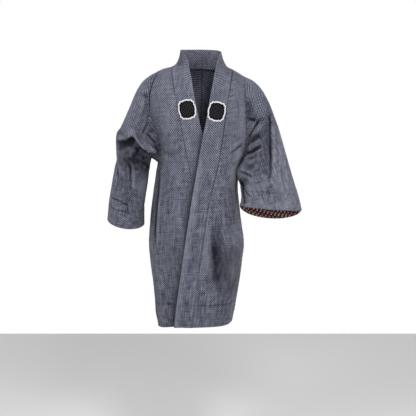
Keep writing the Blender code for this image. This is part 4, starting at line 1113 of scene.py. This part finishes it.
def black_patch():
    """Black embroidery with a faint lattice of lozenges and a white stitched edge."""
    graph = Graph(bpy.data.materials.new("black_patch"))
    uv, u, v = graph.flat_place()
    share, turn = graph.mark("share"), graph.mark("turn")
    stitch = graph.math("SINE", graph.times(turn, STITCHES_ROUND * 2 * math.pi))
    border = graph.math("ADD", share, graph.times(stitch, BORDER_FRAY))
    border = graph.ramp(border, BORDER_FROM - BORDER_EDGE, BORDER_FROM + BORDER_EDGE)
    cell, other = (graph.away(graph.repeated(graph.math(way, u, v), LATTICE)) for way in ("ADD", "SUBTRACT"))
    ring = graph.math("SUBTRACT", graph.math("MAXIMUM", cell, other), LATTICE * LATTICE_SIZE)
    lozenge = graph.ramp(graph.away(ring), *LATTICE_LINE)
    lozenge = graph.times(lozenge, graph.ramp(share, LATTICE_WITHIN, LATTICE_WITHIN - 0.02))
    fuzz = graph.noise(uv, FUZZ_GRAIN)
    colour = graph.mix(fuzz, PATCH_DARK, PATCH_LIGHT)
    colour = graph.mix(graph.times(lozenge, 0.8), colour, LATTICE_COLOUR)
    paler = graph.math("MULTIPLY_ADD", stitch, STITCH_DARKER, 1.0 - STITCH_DARKER)
    white = graph.mix(paler, BORDER_DARK, BORDER_COLOUR)
    colour = graph.mix(border, colour, white)
    ridges = graph.times(border, graph.math("MULTIPLY_ADD", stitch, 0.5, 0.5))
    height = graph.math("ADD", graph.times(fuzz, FUZZ_RISE), graph.times(ridges, STITCHES_RISE))
    return graph.finish(colour, height, PATCH_ROUGHNESS, bump=0.5, depth=0.0003, specular=0.08, sheen=0.0)


def plain(name, colour, roughness):
    graph = Graph(bpy.data.materials.new(name))
    graph.set(Base_Color=colour, Roughness=roughness)
    return graph.owner


def away_from(points, edge):
    """Distance along the cloth from one of the grid's edges."""
    axis = 0 if edge.endswith("row") else 1
    run = np.cumsum(lengths(np.diff(points, axis=axis)), axis=axis)
    run = np.concatenate([0.0 * run.take([0], axis=axis), run], axis=axis)
    return run if edge.startswith("first") else run.take([-1], axis=axis) - run


def puckers(run, seed, spacing):
    """Uneven small waves along a seam, from about -1 to 1."""
    chance = np.random.default_rng(seed)
    total = np.zeros(run.shape)
    for _ in range(PUCKER_WAVES):
        wavelength = spacing * chance.uniform(*PUCKER_UNEVEN)
        total += np.sin(run * 2 * math.pi / wavelength + chance.uniform(0.0, 6.0))
    return total / PUCKER_SUM


def seam_lift(away, run, seed, pucker=SEAM_PUCKER):
    """A seam's own line and the small puckers beside it."""
    beside = np.exp(-away / PUCKER_REACH) * (1.0 - bell(away / PUCKER_FROM))
    return pucker * puckers(run, seed, PUCKER_SPACING) * beside - SEAM_GROOVE * bell(away / SEAM_WIDE)


def hem_lift(off, run, seed):
    """The line where a hem is sewn, this far off, and the small puckers beside it."""
    beside = np.exp(-np.abs(off) / HEM_PUCKER_REACH)
    return HEM_PUCKER * puckers(run, seed, HEM_PUCKER_SPACING) * beside - HEM_LINE * bell(off / HEM_LINE_WIDE)


class Cloth:
    """One cloth piece while it is being shaped: its points, and how far each moves out or along."""

    def __init__(self, points, closed=False):
        self.points, self.closed = points, closed
        if closed:
            self.centre = points.mean(axis=1, keepdims=True) * np.ones_like(points)
        else:
            self.centre = stack(BODY.at(points[..., 2], "centre_x"), 0.0, points[..., 2])
        self.lift = np.zeros(points.shape[:2])
        self.slide = np.zeros(points.shape)
        # painted shade under deep hollows
        self.deep = np.zeros(points.shape[:2])
        self.find_normals()

    def find_normals(self):
        self.normals = outward_normals(self.points, self.closed, self.centre)

    def add(self, lift):
        self.lift = self.lift + lift

    def crease(self, creases, side, seed, share=1.0):
        for view in ("front", "back"):
            lift, slide, deep = crease_shift(self.points, self.normals, creases[side, view], view, seed)
            self.deep = np.maximum(self.deep, deep)
            self.add(lift * share)
            self.slide = self.slide + slide * np.asarray(share)[..., None]

    def settle(self):
        """Moves the points by what was added."""
        self.points = self.points + self.normals * self.lift[..., None] + self.slide
        self.find_normals()


def body_cloth(side):
    points = LINES.panel(side, spaced(PANEL_WIDTH, (0.0, PANEL_WIDTH)))
    cloth = Cloth(points)
    z = points[..., 2]
    cloth.add(waves(points, 11 + side, *BODY_WAVES) * smooth_step(*BODY_FREE, z))
    cloth.add(waves(points, 21 + side, *SKIRT_WAVES) * smooth_step(*SKIRT_FREE, z))
    cloth.add(waves(points, 31 + side, *BODY_RIPPLES))
    cloth.crease(BODY_CREASES, side, 40 + side)
    inner, run = away_from(points, "first_column"), away_from(points, "first_row")
    cloth.add(seam_lift(inner, run, 50 + side) * between(z, *FRONT_SEAM_LIFT))
    cloth.add(seam_lift(away_from(points, "last_column"), run, 60 + side))
    cloth.add(hem_lift(z - HEM_Z - HEM_DEPTH, inner, 70 + side))
    cloth.settle()
    return cloth


def sleeve_cloth(side, hole):
    along = spaced(SLEEVE_RUN, (0.0, SLEEVE_RUN - CUFF_DEPTH, SLEEVE_RUN))
    turns, girth = sleeve_turns(hole)
    points = sleeve_tube(side, hole, along, turns)
    cloth = Cloth(points, closed=True)
    cloth.plain, cloth.flat = tube_laid_out(points)
    cloth.from_underarm = np.minimum(turns, 360.0 - turns)[None, :] / 360.0 * girth
    free = smooth_step(*SLEEVE_FREE, along)[:, None]
    cloth.add(waves(points, 111 + side, *SLEEVE_WAVES) * free)
    cloth.add(waves(points, 131 + side, *SLEEVE_RIPPLES))
    cloth.crease(SLEEVE_CREASES, side, 140 + side, free)
    hang = Table(("along", "x", "y", "z"), SLEEVE_UNDERSIDE[side])
    under = np.maximum(np.cos(np.radians(turns)), 0.0)[None] ** 2
    shift = np.stack([hang.at(along, name) for name in ("x", "y", "z")], axis=-1)
    cloth.slide = cloth.slide + under[..., None] * shift[:, None]
    start, end = away_from(points, "first_row"), away_from(points, "last_row")
    around = np.linspace(0.0, girth, points.shape[1])[None, :]
    cloth.add(seam_lift(start, around, 150 + side))
    cloth.add(seam_lift(cloth.from_underarm, start, 160 + side) * free)
    cloth.add(hem_lift(end - CUFF_DEPTH, around, 170 + side))
    cloth.settle()
    return cloth


def collar_cloth(seams):
    shares = spaced(COLLAR_WIDTH, (0.0, COLLAR_WIDTH), FINE_COLLAR)
    right, left = (collar_half(side, seams[side], shares) for side in SIDES)
    points = np.concatenate([right, left[-2::-1]])
    cloth = Cloth(points)
    run, z = away_from(points, "first_row"), points[..., 2]
    cloth.add(waves(points, 211, *COLLAR_WAVES))
    cloth.add(waves(points, 212, *COLLAR_RIPPLES))
    seam = seam_lift(away_from(points, "first_column"), run, 213, COLLAR_PUCKER)
    cloth.add(seam * between(z, *FRONT_SEAM_LIFT))
    stands_off = (np.arange(len(points))[:, None] > LINES.nape) * smooth_step(*EDGE_FREE, z)
    by_edge = smooth_step(EDGE_FREE_WIDE, 0.0, away_from(points, "last_column"))
    cloth.add(EDGE_STANDS_OFF * stands_off * by_edge)
    cloth.settle()
    return cloth


def every(step, count):
    return np.unique(np.append(np.arange(0, count, step), count - 1))


def shares_between(count, chosen):
    """How much each of the chosen rows counts at every row, going straight from one to the next."""
    return np.stack([np.interp(np.arange(count), chosen, one) for one in np.eye(len(chosen))], axis=-1)


def eased(points, flat):
    """Flat places moved until each small square of cloth keeps its shape, as nearly as it can.

    Each turn finds how every square lies, and then the places that fit the squares' true sides best.
    """
    rows, columns = every(EASE_STEP, len(points)), every(EASE_STEP, points.shape[1])
    place = flat[rows][:, columns]
    spots = points[rows][:, columns].reshape(-1, 3)
    number = np.arange(len(spots)).reshape(place.shape[:2])
    corners = [number[:-1, :-1], number[1:, :-1], number[1:, 1:], number[:-1, 1:]]
    corners = [corner.reshape(-1) for corner in corners]
    across = spots[corners[2]] - spots[corners[0]]
    x = unit(across)
    y = unit(np.cross(x, np.cross(across, spots[corners[3]] - spots[corners[1]])))
    pairs = [(0, 1), (3, 2), (0, 3), (1, 2), (0, 2), (1, 3)]
    start, end = (np.stack([corners[pair[i]] for pair in pairs]) for i in (0, 1))
    sides = spots[end] - spots[start]
    sides_x, sides_y = np.sum(sides * x, axis=-1), np.sum(sides * y, axis=-1)
    pull = np.zeros((len(spots), len(spots)))
    for one, two, amount in ((start, start, 1), (end, end, 1), (start, end, -1), (end, start, -1)):
        np.add.at(pull, (one, two), amount)
    pull[0, 0] += 1.0
    solve = np.linalg.inv(pull)
    moved = place.reshape(-1, 2)
    for _ in range(EASE_TURNS):
        now = moved[end] - moved[start]
        aside = np.sum(sides_x * now[..., 1] - sides_y * now[..., 0], axis=0)
        ahead = np.sum(sides_x * now[..., 0] + sides_y * now[..., 1], axis=0)
        wanted = np.stack(turned(sides_x, sides_y, np.arctan2(aside, ahead)), axis=-1)
        total = np.zeros(moved.shape)
        np.add.at(total, end, wanted)
        np.add.at(total, start, -wanted)
        total[0] += moved[0]
        moved = solve @ total
    shift = moved.reshape(place.shape) - place
    by_row, by_column = shares_between(len(points), rows), shares_between(points.shape[1], columns)
    return flat + np.einsum("ir,rcd,jc->ijd", by_row, shift, by_column, optimize=True)


def tube_laid_out(points):
    """Flat places of a sleeve's points, along and round it, plain and eased to their true size."""
    ring = np.concatenate([points, points[:, :1]], axis=1)
    centre = points.mean(axis=1, keepdims=True)
    ahead = np.minimum(np.arange(len(points)) + AXIS_SPAN, len(points) - 1)
    behind = np.maximum(np.arange(len(points)) - AXIS_SPAN, 0)
    normals = outward_normals(points, True, centre * np.ones_like(points))
    normals = np.concatenate([normals, normals[:, :1]], axis=1)
    around = unit(np.cross((centre[ahead] - centre[behind]) * np.ones_like(ring), normals))
    onward = np.cross(normals, around)
    sideways, along = np.diff(ring, axis=1), np.diff(ring, axis=0)
    u = np.cumsum(np.sum(sideways * around[:, 1:], axis=-1), axis=1)
    first = np.cumsum(np.sum(sideways[0] * onward[0, 1:], axis=-1))
    v = np.cumsum(np.sum(along * onward[1:], axis=-1), axis=0)
    u = np.concatenate([0.0 * u[:, :1], u], axis=1)
    v = np.concatenate([0.0 * v[:1], v]) + np.concatenate([[0.0], first])
    flat = np.stack([np.abs(u), v], axis=-1)
    return flat, eased(ring, flat)


def draw_in(cloth, rows, column, target, reach=SEWN_OVER):
    """Moves an edge column onto a line of points, and the cloth near it along, less and less."""
    shift = target - cloth.points[rows, column]
    away = away_from(cloth.points, "first_column" if column == 0 else "last_column")[rows]
    cloth.points[rows] += shift[:, None] * smooth_step(reach, 0.0, away)[..., None]


def sew_all(bodies, sleeves, collar):
    """Brings the edges that are sewn together onto the same lines."""
    front, back, nape, count = LINES.armpit_front, LINES.armpit_back, LINES.nape, LINES.count
    for side, body in bodies.items():
        sleeve = sleeves[side]
        hole = slice(front + 1, back)
        line = (body.points[hole, -1] + sleeve.points[0, 1:]) / 2
        draw_in(body, hole, -1, line)
        away = away_from(sleeve.points, "first_row")
        shift = np.concatenate([np.zeros((1, 3)), line - sleeve.points[0, 1:]])
        sleeve.points += shift[None] * smooth_step(SEWN_OVER, 0.0, away)[..., None]
        low, high = slice(0, front + 1), slice(count - 1, back - 1, -1)
        middle = (body.points[low, -1] + body.points[high, -1]) / 2
        draw_in(body, low, -1, middle)
        draw_in(body, high, -1, middle)
    low = slice(nape, count)
    middle = (bodies[-1].points[low, 0] + bodies[1].points[low, 0]) / 2
    for body in bodies.values():
        draw_in(body, low, 0, middle)
    for side, body in bodies.items():
        rows = slice(0, nape + 1)
        band = rows if side < 0 else slice(2 * nape, nape - 1, -1)
        line = (body.points[rows, 0] + collar.points[band, 0]) / 2
        draw_in(body, rows, 0, line)
        draw_in(collar, band, 0, line, COLLAR_WIDTH)


def shape_hem(cloth):
    """The front corner of the hem on the wearer's right hangs a little lower than the rest."""
    x, y, z = np.moveaxis(cloth.points, -1, 0)
    low = math.prod(smooth_step(*reach, value) for reach, value in zip(HEM_CORNER_FROM, (x, y, z)))
    flank = math.prod(smooth_step(*reach, value) for reach, value in zip(HEM_FLANK_FROM, (x, z)))
    cloth.points = cloth.points + stack(HEM_CORNER_IN * flank, 0.0, -HEM_CORNER_DROP * low)
    cloth.find_normals()


def painted_shade_and_light(points, normals):
    """How much painted shade lies on the front here; below 0, how much painted light."""
    total = np.zeros(points.shape[:-1])
    for amount, width, path in PAINTED_SHADE_AND_LIGHT:
        off = lengths(points[..., None, [0, 2]] - through(path, TONE_PLACES)).min(axis=-1)
        total += amount * bell(off / (width / 1000.0))
    return total * smooth_step(*TONE_SEEN, normals[..., 1])


def shade_marks(cloth, edges):
    """Marks for the material: painted shade lies in grooves, under hollows and at seams, and a painted
    highlight with some wear on ridges and along edges.
    """
    blurred = cloth.lift
    for _ in range(BLUR_TURNS):
        for axis in (0, 1):
            blurred = (blurred + np.roll(blurred, 1, axis) + np.roll(blurred, -1, axis)) / 3
    sharp = cloth.lift - blurred
    shade = np.clip(-cloth.lift / SUNK, 0.0, SUNK_MOST) + np.clip(-sharp / SHARPLY_SUNK, 0.0, SHARPLY_MOST)
    # painted shade under deep hollows
    shade = shade + cloth.deep
    # painted highlight on raised ridges
    highlight_and_wear = np.clip(cloth.lift / RAISED, 0.0, RAISED_MOST) + np.clip(sharp / SHARPLY_RAISED, 0.0, SHARPLY_MOST)
    for away, wide, amount in edges:
        shade = np.maximum(shade, amount * bell(away / wide))
    # painted shade on the front, and below 0 painted light
    painted_tone = painted_shade_and_light(cloth.points, cloth.normals)
    crisp = CHEST_CRISP * smooth_step(*CHEST_CRISP_ABOVE, cloth.points[..., 2])
    crisp = crisp + PAINTED_SHADE_CRISP * np.maximum(painted_tone, 0.0)
    return {"shade": shade + np.maximum(painted_tone, 0.0), "highlight_and_wear": highlight_and_wear - np.minimum(painted_tone, 0.0), "crisp": crisp}


def at_least(marks, name, amount):
    marks[name] = np.maximum(marks[name], amount)


def stitches(name, places, runs, outs):
    """Short threads lying on the cloth, pressed in at both ends."""
    verts, faces = [], []
    for place, run, out in zip(places, runs, outs):
        side = np.cross(run, out)
        start = len(verts)
        for share in np.linspace(-1.0, 1.0, STITCH_RINGS):
            rise = THREAD * (STITCH_RISE - STITCH_BEND * share * share)
            middle = place + run * share * STITCH_LENGTH / 2 + out * rise
            for turn in np.arange(STITCH_SIDES) * 2 * math.pi / STITCH_SIDES:
                verts.append(middle + (side * math.cos(turn) + out * math.sin(turn)) * THREAD / 2)
        for low in range(start, start + (STITCH_RINGS - 1) * STITCH_SIDES, STITCH_SIDES):
            high = low + STITCH_SIDES
            for i in range(STITCH_SIDES):
                j = (i + 1) % STITCH_SIDES
                faces.append((low + i, low + j, high + j, high + i))
        faces.append(tuple(range(start + STITCH_SIDES - 1, start - 1, -1)))
        faces.append(tuple(range(high, high + STITCH_SIDES)))
    data = bpy.data.meshes.new(name)
    data.from_pydata([tuple(vert) for vert in verts], [], faces)
    return finish_mesh(name, data, materials["thread"])


def line_across(cloth, edge, away):
    """The line on the cloth that keeps this distance from its first or last row, with its normals."""
    run = away_from(cloth.points, edge)
    both = np.concatenate([cloth.points, cloth.normals], axis=-1)
    if edge == "last_row":
        run, both = run[::-1], both[::-1]
    line = np.array([places_on(both[:, j], run[:, j], away) for j in range(both.shape[1])])
    return line[:, :3], unit(line[:, 3:])


def stitch_row(line, normals):
    """Places, directions and outward directions for stitches along a line of points."""
    run = run_along(line)
    at = np.arange(STITCH_GAP, run[-1] - STITCH_GAP / 2, STITCH_GAP)
    place, out = places_on(line, run, at), unit(places_on(normals, run, at))
    direction = places_on(line, run, at + 0.001) - place
    direction = unit(direction - out * np.sum(direction * out, axis=1)[:, None])
    return place + out * CLOTH / 2, direction, out


# The pieces

materials = {
    "check_cotton": check_cotton(),
    "maroon_cotton": maroon_cotton(),
    "black_patch": black_patch(),
    "thread": plain("indigo_thread", THREAD_COLOUR, THREAD_ROUGHNESS),
}
bodies = {side: body_cloth(side) for side in SIDES}
seams, sleeves = {}, {}
for side in SIDES:
    edges = LINES.panel(side, np.array((0.0, 1.0)))
    front, back = LINES.armpit_front, LINES.armpit_back
    seams[side] = edges[: LINES.nape + 1, 0]
    underarm = (edges[front, 1] + edges[back, 1]) / 2
    sleeves[side] = sleeve_cloth(side, np.concatenate([underarm[None], edges[front + 1 : back, 1]]))
collar = collar_cloth(seams)
sew_all(bodies, sleeves, collar)
for cloth in (*bodies.values(), collar):
    shape_hem(cloth)

free_edge = collar.points[LINES.nape + 1 :, -1]
free_edge = free_edge[free_edge[:, 1] < 0.0]
free_edge = free_edge[np.argsort(free_edge[:, 2])]


def under_edge(points):
    """Painted shadow on the cloth beside the free front edge that lies over it."""
    x, y, z = np.moveaxis(points, -1, 0)
    away = np.interp(z, free_edge[:, 2], free_edge[:, 0]) - x
    close, wide = (bell(np.maximum(away, 0.0) / reach) for reach in EDGE_SHADE)
    shown = smooth_step(*EDGE_SHADE_COMES, away) * np.maximum(close, EDGE_SHADE_SHARE * wide)
    top = free_edge[-1, 2]
    return DEEP_SHADE * shown * smooth_step(top, top - EDGE_SHADE_ENDS, z) * (y < 0.0)


def body_piece(side, name):
    body = bodies[side]
    points, z = body.points, body.points[..., 2]
    inner, outer = away_from(points, "first_column"), away_from(points, "last_column")
    above_hem = z - HEM_Z - HEM_DEPTH
    marks = shade_marks(body, [
        (inner, SEAM_SHADE, between(z, *FRONT_SEAM_SHADE)),
        (outer, SEAM_SHADE, ARMHOLE_SHADE[side]),
        (np.abs(above_hem), SEAM_SHADE, HEM_SHADE),
    ])
    # painted shadow beside the free front edge
    if side < 0:
        at_least(marks, "shade", under_edge(points))
    flat = np.stack([outer, away_from(points, "first_row")], axis=-1)
    inside = CLOTH / 2 + HEM_EXTRA * smooth_step(HEM_TURN, -HEM_TURN, above_hem)
    return shell(name, points, flat, CLOTH / 2, inside, materials["check_cotton"], body.centre, marks)


def sleeve_piece(side, name):
    sleeve = sleeves[side]
    points = sleeve.points
    start, end = away_from(points, "first_row"), away_from(points, "last_row")
    under = sleeve.from_underarm * np.ones_like(start)
    edges = [(start, *SLEEVE_SEAM_SHADE), (under, *UNDERARM_SHADE), (np.abs(end - CUFF_DEPTH), *CUFF_SHADE)]
    marks = shade_marks(sleeve, edges)
    if side < 0:
        comes, goes, wide = SHOULDER_SHADE
        y, z = points[..., 1], points[..., 2]
        high = smooth_step(*comes, z) * smooth_step(*goes, z) * (y < 0.0)
        at_least(marks, "shade", DEEP_SHADE * high * bell(start / wide))
    crisp = smooth_step(*CRISP_FROM, start) * smooth_step(*CRISP_UNTIL[side], start)
    # lower down: painted shade on the wearer's right sleeve and painted light on the left
    marks["crisp"] = crisp + LOWER_SLEEVE_CRISP[side] * (1.0 - crisp)
    cotton = materials["check_cotton"]
    return shell(name, points, sleeve.flat, CLOTH / 2, CLOTH / 2, cotton, sleeve.centre, marks, closed=True)


def facing_piece(side, name):
    sleeve = sleeves[side]
    sleeve.find_normals()
    end = away_from(sleeve.points, "last_row").mean(axis=1)
    rows = np.flatnonzero((end < CUFF_DEPTH + FACING_OVER) & (end >= FACING_SET_BACK))
    points = sleeve.points[rows] - sleeve.normals[rows] * (CLOTH / 2 + FACING_GAP + FACING / 2)
    cotton, centre = materials["maroon_cotton"], sleeve.centre[rows]
    return shell(name, points, sleeve.plain[rows], FACING / 2, FACING / 2, cotton, centre, {}, closed=True)


def collar_piece(name):
    points = collar.points
    run, across = away_from(points, "first_row"), away_from(points, "first_column")
    middle_run = run[:, points.shape[1] // 2][:, None] * np.ones_like(run)
    marks = shade_marks(collar, [(across, BAND_SHADE_WIDE, between(points[..., 2], *BAND_SEAM_SHADE))])
    # painted shadow beside the free front edge
    at_least(marks, "shade", (np.arange(len(points))[:, None] < LINES.nape) * under_edge(points))
    # painted highlight along the band's free edge
    at_least(marks, "highlight_and_wear", EDGE_HIGHLIGHT * bell(away_from(points, "last_column") / EDGE_HIGHLIGHT_WIDE))
    flat = np.stack([across, middle_run], axis=-1)
    return shell(name, points, flat, COLLAR / 2, COLLAR / 2, materials["check_cotton"], collar.centre, marks)


def patch_edge(angle):
    """The patch's edge seen flat and upright, as X and Z away from its middle."""
    power = 2.0 / PATCH_SQUARENESS
    size = 1.0 + PATCH_LOBE_DEPTH * np.cos(PATCH_LOBES * angle)
    x, z = flatten(np.cos(angle), power) * size, flatten(np.sin(angle), power) * size
    return PATCH_WIDTH / 2 * x, PATCH_HEIGHT / 2 * z


def patch_piece(side, name, band):
    shares = 1.0 - (1.0 - np.linspace(0.0, 1.0, PATCH_RINGS + 1)[1:, None]) ** PATCH_CROWDING
    turns = np.linspace(0.0, 2 * math.pi, PATCH_TURNS, endpoint=False)[None]
    away_x, away_z = (part * shares for part in turned(*patch_edge(turns), -side * PATCH_LEAN))
    x, z = PATCH_CENTRES[side][0] + away_x, PATCH_CENTRES[side][1] + away_z
    points, normals = np.zeros((2, *x.shape, 3))
    for index in np.ndindex(x.shape):
        hit = band.ray_cast(Vector((x[index], -1.0, z[index])), Vector((0.0, 1.0, 0.0)))
        points[index], normals[index] = hit[:2]
    points = points + normals * (PATCH / 2 + PATCH_GAP)
    flat = np.stack(turned(away_x, away_z, side * PATCH_LEAN), axis=-1)
    flat = np.concatenate([flat, flat[:, :1]], axis=1)
    marks = {"share": shares * np.ones_like(x), "turn": turns / (2 * math.pi) * np.ones_like(x)}
    half = PATCH / 2 * np.ones_like(x)
    raised = half + BORDER_RAISED * smooth_step(*BORDER_RISES, marks["share"] - BORDER_FROM)
    centre = points + np.array((0.0, 1.0, 0.0))
    return shell(name, points, flat, raised, half, materials["black_patch"], centre, marks, True, True)


pieces = {}
for side, name in SIDES.items():
    pieces[f"body_{name}"] = body_piece(side, f"body_{name}_cloth")
    pieces[f"sleeve_{name}"] = sleeve_piece(side, f"sleeve_{name}_cloth")
    pieces[f"cuff_facing_{name}"] = facing_piece(side, f"cuff_facing_{name}_cloth")

sewing = {}
for side, name in SIDES.items():
    rows = [stitch_row(*line_across(bodies[side], edge, HEM_DEPTH - STITCH_INSET))
            for edge in ("first_row", "last_row")]
    hem = (np.concatenate(parts) for parts in zip(*rows))
    sewing[f"body_{name}"] = stitches(f"hem_stitches_{name}", *hem)
    line = line_across(sleeves[side], "last_row", CUFF_DEPTH - STITCH_INSET)
    cuff = stitch_row(*(np.concatenate([part, part[:1]]) for part in line))
    sewing[f"sleeve_{name}"] = stitches(f"cuff_stitches_{name}", *cuff)

pieces["collar"] = collar_piece("collar_cloth")
band = BVHTree.FromPolygons(
    [vert.co.copy() for vert in pieces["collar"].data.vertices],
    [tuple(face.vertices) for face in pieces["collar"].data.polygons],
)
for side, name in SIDES.items():
    pieces[f"collar_patch_{name}"] = patch_piece(side, f"collar_patch_{name}_cloth", band)

# How each piece goes with the model

SLOTS = {"cuff_facing": "maroon_cotton", "collar_patch": "black_patch"}
for name, piece in pieces.items():
    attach(piece, "root")
    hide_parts(name)
    SLOTS.get(name.rsplit("_", 1)[0], "check_cotton")

for name, piece in sewing.items():
    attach(piece, "root")

for name in SIDES.values():
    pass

# Camera and lights

scene = bpy.context.scene
scene.view_settings.view_transform = "Standard"
scene.view_settings.gamma = GAMMA

lens = bpy.data.cameras.new("camera")
lens.lens, lens.sensor_width = LENS, SENSOR
camera = placed("camera", lens)
camera.location = CAMERA_AT
camera.rotation_euler = (math.radians(90.0 - CAMERA_DIPS), 0.0, 0.0)
scene.camera = camera

scene.world = bpy.data.worlds.new("studio")
sky = Graph(scene.world, "Background")
direction = sky.parts(sky.node("ShaderNodeTexCoord", {}).outputs["Generated"])
above = sky.ramp(direction["Z"], *WORLD_ABOVE, kind="LINEAR")
behind = sky.ramp(direction["Y"], *WORLD_BEHIND, kind="LINEAR")
sky.set(Strength=sky.math("MAXIMUM", above, behind), Color=WHITE)

data = bpy.data.meshes.new("floor")
corners = [(x * FLOOR_HALF, y * FLOOR_HALF, FLOOR_Z) for x, y in ((-1, -1), (1, -1), (1, 1), (-1, 1))]
data.from_pydata(corners, [], [(0, 1, 2, 3)])
data.materials.append(plain("pale_floor", FLOOR_COLOUR, 1.0))
floor = placed("floor", data)

for name, place, power, size in LIGHTS:
    data = bpy.data.lights.new(name, "AREA")
    data.energy, data.size = power, size
    light = placed(name, data)
    light.location = place
    light.rotation_euler = (Vector(LIT) - Vector(place)).to_track_quat("-Z", "Y").to_euler()
